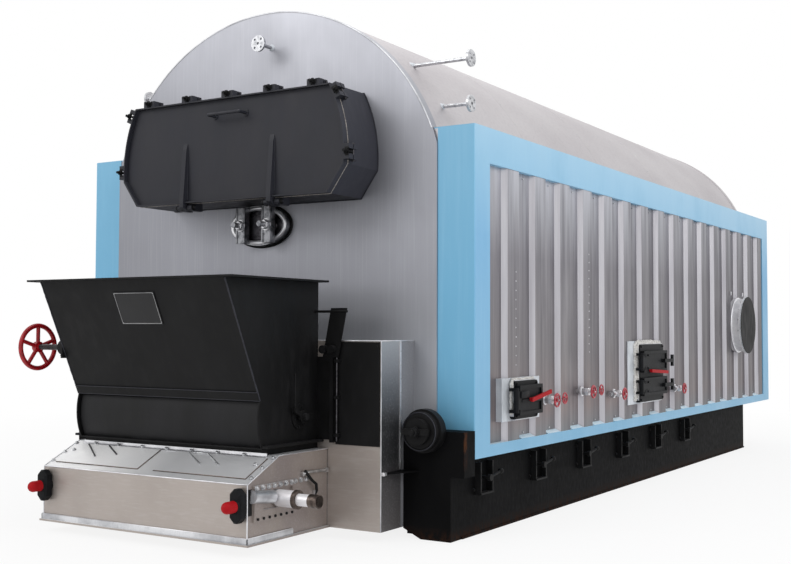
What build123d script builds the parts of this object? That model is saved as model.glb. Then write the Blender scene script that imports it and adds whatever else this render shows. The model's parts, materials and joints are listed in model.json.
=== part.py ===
from build123d import *
import os
from math import sin, cos, atan, radians, degrees, sqrt, pi

# Packaged chain-grate steam boiler, in millimetres, +Z up, front towards -Y.
# X is zero on the centre plane, Z is zero on the ground, and Y is zero midway
# between the hopper's rim and the rear housing.

# Driving dimensions
casing_length = 6170
casing_shoulder = 170
casing_top_rise = 445
casing_bottom = 418
drum_radius = 1230
drum_centre_height = 1730
rim_front_reach = 1133
front_assembly_floor_gap = 56

# Sheets, clearances and overruns shared by several pieces
sheet = 6
light_sheet = 3
plate = 10
running_gap = 5
pin_gap = 0.3
overrun = 20

# Casing frame: painted folded sheet round each side panel
frame_depth = 60
front_post_width = 172
rear_post_width = 205
top_band = 190
bottom_band = 62
corner_round = 8

# Corrugated side sheet, on packing strips that bring it out to the frame's face
panel_packing = 22
rib_pitch = 360
rib_face = 146
rib_flank = 22
rib_depth = 30
rib_first = 369

# Front plate and rear plate
front_plate_inset = 54
rim_flange = 45
rear_reach = 60

# Front wall box
wall_box_inset = 364
wall_box_reach = 336
wall_box_top = 1031
wall_panel_gap = 2
wall_panel_bottom = 490
wall_panel_margin = 6

# Base
base_inset = 80
base_front_reach = 116
base_rear_setback = 650
base_side_width = 330
base_lip = 6
base_lip_height = 12
base_front_top = 565
base_front_toe = 106
base_front_toe_height = 50
base_front_step = 332
gusset_height = 356
gusset_reach = 99
gusset_thickness = 8
stoker_gap = 90
rear_beam_depth = 220

# Dampers along the base
damper_first = 224
damper_pitch = 697
damper_count = 6
bracket_width = 150
bracket_cheek = 12
bracket_reach = 36
bracket_top = 384
bracket_foot = 212
bracket_foot_thickness = 10
bracket_foot_reach = 40
lever_offset = 44
damper_height = 300
lever_length = 129
lever_radius = 7
lever_knob_radius = 16
lever_hub_radius = 18
lever_hub_length = 18
lever_rest_tilt = 100

# Header ends
header_inset = 220
header_centre_height = 566
header_radius = 101
header_collar_radius = 114
header_collar_length = 50
header_reach = 85
header_cap_radius = 68
header_cap_length = 26
header_yoke_length = 150
header_yoke_width = 32
header_yoke_depth = 18
header_nut_radius = 25
header_nut_length = 20
header_stud_radius = 13
header_stud_length = 56

# Smoke box
smokebox_radius = 802
smokebox_rise = 298
smokebox_above = 375
smokebox_below = 212
smokebox_reach = 300
smokebox_corner_width = 108
smokebox_corner_height = 150
smokebox_wall = 8
door_thickness = 14
door_lip = 26
hinge_x = (-327, 308)
hinge_pin_radius = 9
hinge_pin_length = 150
hinge_drop = 24
hinge_block_width = 34
strap_height = 350
strap_width = 30
strap_depth = 38
grab_width = 225
grab_drop = 99
grab_offset = 5
grab_bar = 9
grab_reach = 60
clip_size = 26
clip_gap = 30
clip_height = 34
clip_count = 5
clip_share = 0.374
clip_angles = (24, 0)

# Drum manhole
manhole_drop = 36
manhole_half_width = 208
manhole_half_height = 117
manhole_ring = 28
manhole_reach = 46
manhole_cover_reach = 18
yoke_width = 60
yoke_depth = 44
yoke_offset = 95
yoke_bolt_radius = 16
yoke_bolt_reach = 70
yoke_nut = 24

# Nozzles
nozzle_radius = 11
nozzle_flange_radius = 47.5
nozzle_flange_thickness = 14
nozzle_bore = 8
nozzle_bolt_circle = 32.5
nozzle_bolt_hole = 7
nozzle_bolt_count = 4
nozzle_y = 255
upper_nozzle_angle = 44.8
upper_nozzle_length = 378
lower_nozzle_angle = 29.85
lower_nozzle_length = 186
left_nozzle_angle = 46.6
left_nozzle_length = 345
front_nozzle_x = 54
front_nozzle_drop = 215
front_nozzle_reach = 130

# Hopper
hopper_side_inset = 398
hopper_wall = 8
hopper_rim_height = 1338
hopper_rim_width = 69
hopper_rim_front = 35
hopper_rim_thickness = 10
hopper_front_bottom = 822
hopper_front_rise = 235
hopper_seat_gap = 35
hopper_skirt_depth = 12
hopper_skirt_setback = 40
hopper_toe_radius = 336
hopper_strip_height = 42
hopper_strip = 6
hopper_rail = 40
hopper_rail_drop = 12

# Fan gate under the hopper's front plate
gate_axis_y = 500
gate_axis_rise = 140
gate_toe_gap = 20
gate_plate = 8
gate_top_angle = 164
gate_sweep = 42
gate_shaft_radius = 18
gate_hub_radius = 34
gate_web = 10
gate_lever_bar = 14
gate_crank_reach = 72
gate_crank_rise = 42
gate_crank_tail = 85
gate_crank_width = 26
gate_rod_radius = 5
gate_rod_rise = 224

# Coal gate lift at the back of the hopper
lift_reach = 117
lift_top = 945
lift_thickness = 30
lift_post = 22
lift_arm_top = 1202
lift_arm_inner_reach = 103
lift_arm_outer_reach = 204
lift_foot_inner_reach = 52
lift_foot_outer_reach = 150
lift_shaft_radius = 7
lift_shaft_drop = 18
lift_wheel_radius = 44
lift_wheel_gap = 96
lift_wheel_height = 985

# Hand wheel on the hopper's left wall
wheel_radius = 132
wheel_rim = 13
wheel_hub = 30
wheel_spokes = 5
wheel_spoke_radius = 11
wheel_reach = 262
wheel_setback = 52
wheel_height = 987
wheel_shaft_radius = 16
wheel_boss_radius = 42
wheel_boss_length = 60

# Rating plate, left blank
label_width = 282
label_height = 180
label_thickness = 4
label_drop = 54
label_centre_x = 14

# Grate front box
grate_margin = 66
grate_reach = 995
grate_front_top = 348
grate_deck = 465
grate_deck_start = 752
grate_foot_flange = 16
grate_foot_thickness = 10
grate_lid_margin = 40
grate_lid_gap = 110
grate_lid_inset = 45
grate_lid_thickness = 6

# Tension caps on the grate front box
cap_inset = 35
cap_height = 250
cap_half_width = 36
cap_half_height = 82
cap_corner = 26
cap_length = 44
cap_seat_radius = 34
cap_seat_length = 10
cap_dome_radius = 29
cap_dome_length = 80

# Take-up bearing on the side of the grate box
bearing_front = 955
bearing_rear = 640
bearing_bottom = 165
bearing_top = 338
bearing_thickness = 12
bearing_slot_height = 90
bearing_slot_length = 230
shaft_y = 770
shaft_height = 262
shaft_radius = 42
shaft_end_radius = 30
shaft_reach = 120
shaft_end_reach = 140

# Doors on the side casing, places measured back from the casing front
side_surround_proud = 6
throat_wall = 22
door_corner = 20
side_door_thickness = 26
side_door_relief = 8
side_door_rim = 20
side_hinge_radius = 8
side_hinge_offset = 24
side_ear_inset = 14
side_ear_height = 18
inspection_surround_y = (309, 790)
inspection_surround_z = (590, 824)
inspection_y = (405, 700)
inspection_z = (622, 786)
inspection_depth = 34
inspection_margin = 22
red_lever_length = 240
red_lever_width = 22
red_lever_thickness = 10
red_lever_standoff = 12
red_lever_tilt = -8
red_lever_setback = 170
fire_surround_y = (2248, 2926)
fire_surround_z = (576, 1013)
fire_y = (2400, 2894)
fire_upper_z = (795, 945)
fire_lower_z = (632, 757)
fire_depth = 34
fire_margin = 45
fire_lever_setback = 380
fire_lever_rise = 10
fire_lever_tilt = 3
fire_lever_length = 330
latch_length = 195
latch_width = 24
latch_thickness = 18
latch_hook = 84
latch_hook_width = 26

# Blow-down valves, as places back from the casing front and heights
valve_spots = ((880, 682), (1440, 706), (1990, 668), (3269, 650))
valve_pipe_radius = 13
valve_body_radius = 22
valve_body_length = 50
valve_reach = 2
valve_wheel_radius = 42
valve_wheel_rim = 6
valve_wheel_hub = 12
valve_wheel_arms = 3
valve_stem_radius = 6
valve_stem_length = 40

# Round duct stub at the rear of the right side
duct_rear_setback = 1080
duct_height = 1140
duct_radius = 236
duct_wall = 6
duct_flange = 18
duct_flange_thickness = 12
duct_blank_thickness = 10

# Derived sizes and places
casing_half_width = drum_radius + casing_shoulder
casing_top = drum_centre_height + casing_top_rise
front_plate_half_width = drum_radius - front_plate_inset
wall_box_half_width = casing_half_width - wall_box_inset
hopper_half_width = wall_box_half_width - hopper_side_inset
header_centre_x = casing_half_width - header_inset
cladding_radius = drum_radius - sheet
smokebox_centre_height = drum_centre_height + smokebox_rise
smokebox_top = smokebox_centre_height + smokebox_above
smokebox_bottom = smokebox_centre_height - smokebox_below
grab_height = smokebox_top - grab_drop
manhole_centre_height = drum_centre_height - manhole_drop
front_nozzle_height = drum_centre_height + drum_radius - front_nozzle_drop
grate_half_width = hopper_half_width + grate_margin
cap_x = grate_half_width - cap_inset
hopper_floor = grate_deck + hopper_seat_gap
hopper_front_bottom_height = hopper_floor + hopper_front_rise
gate_axis_height = hopper_floor + gate_axis_rise
gate_radius = hopper_toe_radius - gate_toe_gap
lift_half_width = hopper_half_width + lift_reach
wall_panel_inner = lift_half_width + wall_panel_gap
label_top = hopper_rim_height - label_drop
duct_y = casing_length - duct_rear_setback
base_rear = casing_length - base_rear_setback
front_y = (rim_front_reach - casing_length - rear_reach) / 2
core_half_width = casing_half_width - frame_depth
core_front = front_y + sheet
core_rear = front_y + casing_length - sheet
wall_face = front_y - wall_box_reach
base_outer = casing_half_width - base_inset
base_inner = base_outer - base_side_width
stoker_half_width = base_inner - stoker_gap
panel_front = front_y + front_post_width
panel_rear = front_y + casing_length - rear_post_width
panel_bottom = casing_bottom + bottom_band
panel_top = casing_top - top_band
panel_valley = core_half_width + panel_packing + light_sheet
rib_crest = panel_valley + rib_depth
surround_face = rib_crest + side_surround_proud
inspection_face = surround_face + inspection_depth + running_gap + side_door_thickness
side_reach = inspection_face + red_lever_standoff + red_lever_thickness
duct_face = side_reach - duct_blank_thickness


def block(x_span, y_span, z_span):
    """A box between two corners, each span given low then high."""
    x0, x1 = sorted(x_span)
    y0, y1 = sorted(y_span)
    z0, z1 = sorted(z_span)
    return Pos((x0 + x1) / 2, (y0 + y1) / 2, (z0 + z1) / 2) * Box(x1 - x0, y1 - y0, z1 - z0)


def rod_x(radius, x_span, y, z):
    x0, x1 = sorted(x_span)
    return Pos((x0 + x1) / 2, y, z) * Rot(0, 90, 0) * Cylinder(radius, x1 - x0)


def rod_y(radius, y_span, x, z):
    y0, y1 = sorted(y_span)
    return Pos(x, (y0 + y1) / 2, z) * Rot(90, 0, 0) * Cylinder(radius, y1 - y0)


def rod_z(radius, z_span, x, y):
    z0, z1 = sorted(z_span)
    return Pos(x, y, (z0 + z1) / 2) * Cylinder(radius, z1 - z0)


def slab_xz(points, y_span):
    """An outline in X and Z, extruded between two Y values."""
    y0, y1 = sorted(y_span)
    face = make_face(Polyline(*[(x, y0, z) for x, z in points], close=True))
    return extrude(face, amount=y1 - y0, dir=(0, 1, 0))


def slab_yz(points, x_span):
    """An outline in Y and Z, extruded between two X values."""
    x0, x1 = sorted(x_span)
    face = make_face(Polyline(*[(x0, y, z) for y, z in points], close=True))
    return extrude(face, amount=x1 - x0, dir=(1, 0, 0))


def slab_xy(points, z_span):
    """An outline in X and Y, extruded between two Z values."""
    z0, z1 = sorted(z_span)
    face = make_face(Polyline(*[(x, y, z0) for x, y in points], close=True))
    return extrude(face, amount=z1 - z0, dir=(0, 0, 1))


def mirrored(shape):
    return mirror(shape, about=Plane.YZ)


def spot(y):
    """A place measured back from the casing front."""
    return front_y + y


def ahead(y):
    """A place measured forward from the casing front."""
    return front_y - y


def arch(half_width, radius, bottom, y_span):
    """A plate or block with straight sides under a round top on the drum's axis."""
    lower = block((-half_width, half_width), y_span, (bottom, drum_centre_height + radius))
    round_top = rod_y(radius, y_span, 0, drum_centre_height)
    shoulder = block((-half_width, half_width), y_span, (bottom, drum_centre_height))
    return (lower & round_top) + shoulder


# Casing

def casing_core():
    return block((-core_half_width, core_half_width), (core_front, core_rear),
                 (casing_bottom, casing_top - sheet))


def drum_cladding():
    radius = cladding_radius
    barrel = rod_y(radius, (core_front, core_rear), 0, drum_centre_height)
    above = block((-radius, radius), (core_front, core_rear),
                  (casing_top - sheet, drum_centre_height + radius + overrun))
    return barrel & above


def front_plate():
    y_span = (front_y - plate, front_y)
    arch_plate = arch(front_plate_half_width, drum_radius, base_front_top, y_span)
    flange = rod_y(drum_radius, (front_y, front_y + rim_flange), 0, drum_centre_height)
    flange -= rod_y(drum_radius - sheet, (front_y - overrun, front_y + rim_flange + overrun),
                    0, drum_centre_height)
    flange &= block((-drum_radius, drum_radius), (front_y, front_y + rim_flange),
                    (casing_top, drum_centre_height + drum_radius))
    return arch_plate + flange


def rear_plate():
    """The shallow rear housing, standing out behind the casing."""
    back = front_y + casing_length
    return arch(front_plate_half_width, drum_radius, casing_bottom, (back - sheet, back + rear_reach))


def casing_frame():
    outer = block((core_half_width, casing_half_width), (front_y, front_y + casing_length),
                  (casing_bottom, casing_top))
    outer = fillet(outer.edges().filter_by(Axis.Z).group_by(Axis.X)[-1], corner_round)
    window = block((core_half_width - overrun, casing_half_width + overrun),
                   (panel_front, panel_rear), (panel_bottom, panel_top))
    front_face = block((front_plate_half_width, core_half_width), (front_y, core_front),
                       (casing_bottom, casing_top))
    rear_face = block((front_plate_half_width, core_half_width),
                      (core_rear, front_y + casing_length), (casing_bottom, casing_top))
    ledge_inner = sqrt(drum_radius ** 2 - (casing_top - sheet - drum_centre_height) ** 2)
    ledge = block((ledge_inner, core_half_width), (core_front, core_rear),
                  (casing_top - sheet, casing_top))
    return outer - window + front_face + rear_face + ledge


def corrugated_panel():
    """One trapezoidal sheet, its wide faces nearly flush with the frame."""
    valley = panel_valley
    outline = [(valley, panel_front)]
    start = panel_front + rib_first - rib_face
    while start + rib_face + rib_flank < panel_rear:
        outline.append((valley, start - rib_flank))
        outline.append((rib_crest, start))
        outline.append((rib_crest, start + rib_face))
        outline.append((valley, start + rib_face + rib_flank))
        start += rib_pitch
    outline.append((valley, panel_rear))
    inner = [(x - light_sheet, y) for x, y in reversed(outline)]
    return slab_xy(outline + inner, (panel_bottom, panel_top))


# Base

def base_side():
    """A flush side girder with a lip along its bottom edge."""
    span = (front_y, spot(base_rear))
    side = block((base_inner, base_outer), span, (0, casing_bottom))
    return side + block((base_outer, base_outer + base_lip), span, (0, base_lip_height))


def base_front():
    """The box under the header at the front corner, stepped out to the casing, with a gusset."""
    inner = wall_box_half_width
    outline = [(inner + base_front_toe, 0), (base_outer, 0), (base_outer, base_front_step),
               (casing_half_width, base_front_step), (casing_half_width, base_front_top),
               (inner, base_front_top), (inner, base_front_toe_height)]
    box = slab_xz(outline, (ahead(base_front_reach), front_y))
    gusset = slab_xy([(inner, wall_face), (inner, ahead(base_front_reach)),
                      (inner + gusset_reach, ahead(base_front_reach))],
                     (gusset_height - gusset_thickness, gusset_height))
    return box + gusset


def base_rear_beam():
    inner = base_inner
    rear = spot(base_rear)
    return block((-inner, inner), (rear - rear_beam_depth, rear), (0, casing_bottom))


def stoker_chassis():
    rear = spot(base_rear) - rear_beam_depth
    return block((-stoker_half_width, stoker_half_width), (front_y - plate, rear),
                 (front_assembly_floor_gap, casing_bottom))


def damper_centres():
    return [spot(damper_first + number * damper_pitch) for number in range(damper_count)]


def damper_brackets():
    """Two upright cheeks on a foot plate for each damper, with the lever's spindle between them."""
    brackets = None
    half = bracket_width / 2
    for y in damper_centres():
        bracket = block((base_outer, base_outer + bracket_foot_reach), (y - half, y + half),
                        (bracket_foot, bracket_foot + bracket_foot_thickness))
        for side in (-1, 1):
            bracket += block((base_outer, base_outer + bracket_reach),
                             (y + side * half, y + side * (half - bracket_cheek)),
                             (bracket_foot, bracket_top))
        spindle = rod_x(lever_hub_radius / 2, (base_outer, lever_face() + lever_hub_length),
                        y, damper_height)
        brackets = bracket + spindle if brackets is None else brackets + bracket + spindle
    return brackets


def lever_face():
    return base_outer + lever_offset


def damper_lever(y):
    face = lever_face()
    hub = rod_x(lever_hub_radius, (face, face + lever_hub_length), y, damper_height)
    middle = face + lever_hub_length / 2
    drop = radians(lever_rest_tilt)
    direction = Vector(0, sin(drop), -cos(drop))
    end = Vector(middle, y, damper_height) + direction * lever_length
    arm = Pos(*(Vector(middle, y, damper_height) + direction * lever_length / 2)) \
        * Rot(lever_rest_tilt, 0, 0) * Cylinder(lever_radius, lever_length)
    knob = Pos(*end) * Sphere(lever_knob_radius)
    bore = rod_x(lever_hub_radius / 2 + pin_gap, (face - overrun, face + lever_hub_length + overrun),
                 y, damper_height)
    return hub + arm + knob - bore


def header_end():
    """A capped header end, its cover held by a yoke, a stud and a nut."""
    y = ahead(base_front_reach)
    x = header_centre_x
    z = header_centre_height
    face = y - header_reach
    cover = face - header_cap_length
    bar = cover - header_yoke_depth
    barrel = rod_y(header_radius, (face, y), x, z)
    barrel = chamfer(barrel.edges().group_by(Axis.Y)[0], header_cap_length / 2)
    collar = rod_y(header_collar_radius, (y - header_collar_length, y), x, z)
    cap = rod_y(header_cap_radius, (cover, face), x, z)
    yoke = block((x - header_yoke_length / 2, x + header_yoke_length / 2), (bar, cover),
                 (z - header_yoke_width / 2, z + header_yoke_width / 2))
    nut = rod_y(header_nut_radius, (bar - header_nut_length, bar), x, z)
    stud = rod_y(header_stud_radius, (cover - header_stud_length, cover), x, z)
    return barrel + collar + cap + yoke + nut + stud


# Front wall box

def front_wall_box():
    return block((-wall_box_half_width, wall_box_half_width), (wall_face, front_y - plate),
                 (front_assembly_floor_gap, wall_box_top))


def wall_panels():
    top = wall_box_top - wall_panel_margin
    right = block((wall_panel_inner, wall_box_half_width - wall_panel_margin),
                  (wall_face - sheet, wall_face), (wall_panel_bottom, top))
    return right + mirrored(right)


# Smoke box

def smokebox_outline(inset, y_span):
    """A disc cut flat at top and bottom, with its two bottom corners cut off."""
    top = smokebox_top - inset
    bottom = smokebox_bottom + inset
    radius = smokebox_radius - inset
    step = bottom + smokebox_corner_height
    wide = sqrt(radius ** 2 - (smokebox_centre_height - step) ** 2)
    foot = wide - smokebox_corner_width
    outline = [(-foot, bottom), (foot, bottom), (wide, step), (radius + overrun, step),
               (radius + overrun, top), (-radius - overrun, top), (-radius - overrun, step),
               (-wide, step)]
    return rod_y(radius, y_span, 0, smokebox_centre_height) & slab_xz(outline, y_span)


def smokebox_shell():
    front = ahead(smokebox_reach)
    shell = smokebox_outline(0, (front, front_y - plate))
    shell -= smokebox_outline(smokebox_wall, (front - overrun, front_y - plate + overrun))
    return shell + clip_row(front, front + clip_height)


def clip_row(y0, y1):
    """Pairs of lugs along the top and at two heights on both ends."""
    spots = [((number - (clip_count - 1) / 2) * clip_share * smokebox_radius, smokebox_top, 0)
             for number in range(clip_count)]
    for angle in clip_angles:
        turn = radians(angle)
        for side in (-1, 1):
            spots.append((side * smokebox_radius * cos(turn),
                          smokebox_centre_height + smokebox_radius * sin(turn),
                          side * (90 - angle)))
    row = None
    for x, z, turn in spots:
        pair = Pos(x, (y0 + y1) / 2, z) * Rot(0, turn, 0) * lug_pair(y1 - y0)
        row = pair if row is None else row + pair
    return row


def lug_pair(length):
    apart = (clip_size + clip_gap) / 2
    lug = Pos(0, 0, (clip_height - smokebox_wall) / 2) \
        * Box(clip_size, length, clip_height + smokebox_wall)
    return Pos(-apart, 0, 0) * lug + Pos(apart, 0, 0) * lug


def smokebox_door():
    back = ahead(smokebox_reach) - running_gap
    front = back - door_thickness
    door = smokebox_outline(0, (front, back))
    door += smokebox_outline(0, (front - door_lip, front)) \
        - smokebox_outline(smokebox_wall, (front - door_lip - overrun, front + overrun))
    door += clip_row(front - door_lip, back)
    for x in hinge_x:
        door += door_strap(x, front)
    bars = grab_handle(front)
    return door + bars


def hinge_line():
    y = ahead(smokebox_reach) - running_gap - door_thickness / 2
    return y, smokebox_bottom - hinge_drop


def door_strap(x, face):
    """A tapered strap standing on the door, ending in the hinge eye below it."""
    y_axis, z_axis = hinge_line()
    eye_radius = hinge_pin_radius * 2
    foot = smokebox_bottom - hinge_drop
    outline = [(face, smokebox_bottom + strap_height),
               (face - strap_depth / 3, smokebox_bottom + strap_height - strap_depth),
               (face - strap_depth, smokebox_bottom),
               (face - strap_depth, foot),
               (y_axis, foot - eye_radius),
               (y_axis, smokebox_bottom - pin_gap),
               (face, smokebox_bottom)]
    strap = slab_yz(outline, (x - strap_width / 2, x + strap_width / 2))
    strap += rod_x(eye_radius, (x - strap_width / 2, x + strap_width / 2), y_axis, z_axis)
    strap -= rod_x(hinge_pin_radius + pin_gap,
                   (x - hinge_pin_length, x + hinge_pin_length), y_axis, z_axis)
    return strap


def grab_handle(face):
    x0 = grab_offset - grab_width / 2
    x1 = grab_offset + grab_width / 2
    reach = face - grab_reach
    bar = rod_x(grab_bar, (x0, x1), reach, grab_height)
    for x in (x0, x1):
        bar += rod_y(grab_bar, (reach, face), x, grab_height)
        bar += Pos(x, reach, grab_height) * Sphere(grab_bar)
    return bar


def smokebox_hinges():
    y_axis, z_axis = hinge_line()
    shell_front = ahead(smokebox_reach)
    hinges = None
    for x in hinge_x:
        pin = rod_x(hinge_pin_radius, (x - hinge_pin_length / 2, x + hinge_pin_length / 2),
                    y_axis, z_axis)
        for side in (-1, 1):
            near = x + side * (strap_width / 2 + running_gap)
            far = near + side * hinge_block_width
            radius = hinge_pin_radius * 2
            ear = rod_x(radius, (near, far), y_axis, z_axis)
            ear += block((near, far), (y_axis, shell_front + 2 * clip_height),
                         (z_axis - radius, z_axis + radius))
            ear += block((near, far), (shell_front, shell_front + 2 * clip_height),
                         (z_axis, smokebox_bottom))
            pin += ear
        hinges = pin if hinges is None else hinges + pin
    return hinges


# Drum manhole

def oval(half_width, half_height, y_span):
    y0, y1 = sorted(y_span)
    face = Pos(0, y0, manhole_centre_height) * Rot(-90, 0, 0) * Ellipse(half_width, half_height)
    return extrude(face, amount=y1 - y0, dir=(0, 1, 0))


def manhole():
    face = front_y - plate
    ring = oval(manhole_half_width, manhole_half_height, (face - manhole_reach, face))
    ring -= oval(manhole_half_width - manhole_ring, manhole_half_height - manhole_ring,
                 (face - manhole_reach - overrun, face - manhole_cover_reach))
    floor = face - manhole_cover_reach
    top = face - manhole_reach - yoke_depth
    for side in (-1, 1):
        x = side * yoke_offset
        outline_z = manhole_half_height * sqrt(1 - (yoke_offset / manhole_half_width) ** 2)
        bar = block((x - yoke_width / 2, x + yoke_width / 2), (top, face - manhole_reach),
                    (manhole_centre_height - outline_z, manhole_centre_height + outline_z))
        bolt = rod_y(yoke_bolt_radius, (top - yoke_bolt_reach, floor), x, manhole_centre_height)
        nut = rod_y(yoke_nut, (top - yoke_nut, top), x, manhole_centre_height)
        ring += bar + bolt + nut
    return ring


# Nozzles

def nozzle_front():
    end = ahead(front_nozzle_reach) - plate
    pipe = rod_y(nozzle_radius, (end, front_y - plate), front_nozzle_x, front_nozzle_height)
    flange = rod_y(nozzle_flange_radius, (end, end + nozzle_flange_thickness),
                   front_nozzle_x, front_nozzle_height)
    for number in range(nozzle_bolt_count):
        turn = 2 * pi * (number + 0.5) / nozzle_bolt_count
        flange -= rod_y(nozzle_bolt_hole, (end - overrun, end + nozzle_flange_thickness + overrun),
                        front_nozzle_x + nozzle_bolt_circle * cos(turn),
                        front_nozzle_height + nozzle_bolt_circle * sin(turn))
    bore = rod_y(nozzle_bore, (end - overrun, front_y - plate - sheet),
                 front_nozzle_x, front_nozzle_height)
    return pipe + flange - bore


def drum_point(angle):
    """The place on the cladding at an angle above the drum's axis, as X and Z."""
    turn = radians(angle)
    return cladding_radius * cos(turn), drum_centre_height + cladding_radius * sin(turn)


def level_nozzle(angle, length):
    y = spot(nozzle_y)
    surface, height = drum_point(angle)
    reach = surface + length
    pipe = rod_x(nozzle_radius, (0, reach), y, height)
    pipe -= rod_y(cladding_radius, (y - drum_radius, y + drum_radius), 0, drum_centre_height)
    flange = rod_x(nozzle_flange_radius, (reach - nozzle_flange_thickness, reach), y, height)
    for number in range(nozzle_bolt_count):
        turn = 2 * pi * (number + 0.5) / nozzle_bolt_count
        flange -= rod_x(nozzle_bolt_hole, (reach - nozzle_flange_thickness - overrun, reach + overrun),
                        y + nozzle_bolt_circle * cos(turn), height + nozzle_bolt_circle * sin(turn))
    bore = rod_x(nozzle_bore, (surface + nozzle_flange_thickness, reach + overrun), y, height)
    return pipe + flange - bore


def level_nozzles():
    upper = level_nozzle(upper_nozzle_angle, upper_nozzle_length)
    lower = level_nozzle(lower_nozzle_angle, lower_nozzle_length)
    left = mirrored(level_nozzle(left_nozzle_angle, left_nozzle_length))
    return Compound([upper, lower, left])


# Hopper

def hopper_front_edge():
    return ahead(rim_front_reach - hopper_rim_front)


def hopper_lean():
    """How far the front plate runs back for each unit that it drops."""
    run = ahead(hopper_front_bottom) - hopper_front_edge()
    return run / (hopper_rim_height - hopper_front_bottom_height)


def hopper_front_at(height):
    return hopper_front_edge() + (hopper_rim_height - height) * hopper_lean()


def hopper_toe():
    """Where the side wall's round front edge meets the hopper's floor."""
    drop = gate_axis_height - hopper_floor
    return ahead(gate_axis_y) - sqrt(hopper_toe_radius ** 2 - drop ** 2)


def hopper_side(mouth, lip):
    """The right wall: a sloping front edge, then an edge round the fan gate's axis."""
    x = hopper_half_width - hopper_wall
    axis_y = ahead(gate_axis_y)
    rise = hopper_front_bottom_height - gate_axis_height
    start = (x, axis_y - sqrt(hopper_toe_radius ** 2 - rise ** 2), hopper_front_bottom_height)
    stop = (x, hopper_toe(), hopper_floor)
    outline = Polyline(stop, (x, wall_face, hopper_floor), (x, wall_face, hopper_rim_height),
                       (x, mouth, hopper_rim_height), (x, lip, hopper_front_bottom_height), start)
    edge = ThreePointArc(start, (x, axis_y - hopper_toe_radius, gate_axis_height), stop)
    return extrude(make_face(outline + edge), amount=hopper_wall, dir=(1, 0, 0))


def skirt_front():
    return hopper_toe() + hopper_skirt_setback


def hopper_skirt():
    """The plates that close the gap between the hopper's floor and the grate deck."""
    toe = hopper_toe()
    outer = hopper_half_width
    skirt = skirt_front()
    foot = skirt + hopper_skirt_depth
    front = slab_yz([(toe, hopper_floor), (foot, hopper_floor), (foot, deck_height(foot) + pin_gap),
                     (skirt, deck_height(skirt) + pin_gap), (skirt, hopper_floor - sheet),
                     (toe, hopper_floor - sheet)], (-outer, outer))
    side = slab_yz([(skirt, hopper_floor), (wall_face, hopper_floor), (wall_face, grate_deck + pin_gap),
                    (ahead(grate_deck_start), grate_deck + pin_gap),
                    (skirt, deck_height(skirt) + pin_gap)], (outer - hopper_wall, outer))
    return front + side + mirrored(side)


def hopper():
    mouth = hopper_front_edge()
    lip = ahead(hopper_front_bottom)
    wall = hopper_wall
    outer = hopper_half_width
    side = hopper_side(mouth, lip)
    shaft_bore = rod_x(gate_shaft_radius + pin_gap, (outer - overrun, outer + overrun),
                       ahead(gate_axis_y), gate_axis_height)
    side -= shaft_bore
    thick = wall * sqrt(1 + hopper_lean() ** 2)
    front = slab_yz([(mouth, hopper_rim_height), (lip, hopper_front_bottom_height),
                     (lip + thick, hopper_front_bottom_height),
                     (mouth + thick, hopper_rim_height)], (-outer, outer))
    back = block((-outer, outer), (wall_face - wall, wall_face), (hopper_floor, hopper_rim_height))
    strip_top = hopper_front_bottom_height + hopper_strip_height
    strip_y = hopper_front_at(strip_top)
    strip = slab_yz([(lip, hopper_front_bottom_height), (strip_y, strip_top),
                     (strip_y - hopper_strip, strip_top),
                     (lip - hopper_strip, hopper_front_bottom_height)], (-outer, outer))
    rim_z = (hopper_rim_height, hopper_rim_height + hopper_rim_thickness)
    rim = block((-outer - hopper_rim_width, outer + hopper_rim_width),
                (ahead(rim_front_reach), wall_face), rim_z)
    rim -= block((-outer + wall, outer - wall), (mouth + thick, wall_face - wall),
                 (hopper_rim_height - overrun, hopper_rim_height + overrun))
    rail = block((outer, outer + hopper_rail), (hopper_toe(), wall_face),
                 (hopper_floor, hopper_floor + hopper_rail_drop))
    walls = side + mirrored(side) + front + back + strip + hopper_skirt()
    return walls + rim + rail + mirrored(rail)


def fan_gate():
    """A curved plate on two webs and a shaft, turning inside the hopper's side walls."""
    y = ahead(gate_axis_y)
    z = gate_axis_height
    half = hopper_half_width - hopper_wall - running_gap
    skin = rod_x(gate_radius, (-half, half), y, z)
    skin -= rod_x(gate_radius - gate_plate, (-half - overrun, half + overrun), y, z)
    sector = gate_sector(half)
    skin &= sector
    webs = None
    for side in (-1, 1):
        span = (side * half, side * (half - gate_web))
        web = (rod_x(gate_radius, span, y, z) & sector) + rod_x(gate_hub_radius, span, y, z)
        webs = web if webs is None else webs + web
    reach = hopper_half_width + hopper_rail + gate_lever_bar
    shaft = rod_x(gate_shaft_radius, (-hopper_half_width - hopper_rail, reach), y, z)
    return skin + webs + shaft


def gate_sector(half):
    y = ahead(gate_axis_y)
    z = gate_axis_height
    far = gate_radius * 2
    start = radians(gate_top_angle)
    stop = radians(gate_top_angle + gate_sweep)
    points = [(y, z), (y + far * cos(start), z + far * sin(start)),
              (y + far * cos(stop), z + far * sin(stop))]
    return slab_yz(points, (-half, half))


def gate_lever():
    """The cranked lever on the end of the fan gate's shaft, with its upright rod."""
    y = ahead(gate_axis_y)
    z = gate_axis_height
    x0 = hopper_half_width + hopper_rail / 2
    x1 = x0 + gate_lever_bar
    half = gate_crank_width / 2
    hub = rod_x(gate_hub_radius, (x0, x1), y, z)
    tip = y - gate_crank_reach
    front = slab_yz([(y, z - half), (tip - half, z + gate_crank_rise - half),
                     (tip - half, z + gate_crank_rise + half), (y, z + half)], (x0, x1))
    tail = block((x0, x1), (y, y + gate_crank_tail), (z - half, z + half))
    rod = rod_z(gate_rod_radius, (z + gate_crank_rise, z + gate_rod_rise), (x0 + x1) / 2, tip)
    bore = rod_x(gate_shaft_radius, (x0 - overrun, x1 + overrun), y, z)
    return hub + front + tail + rod - bore


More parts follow.
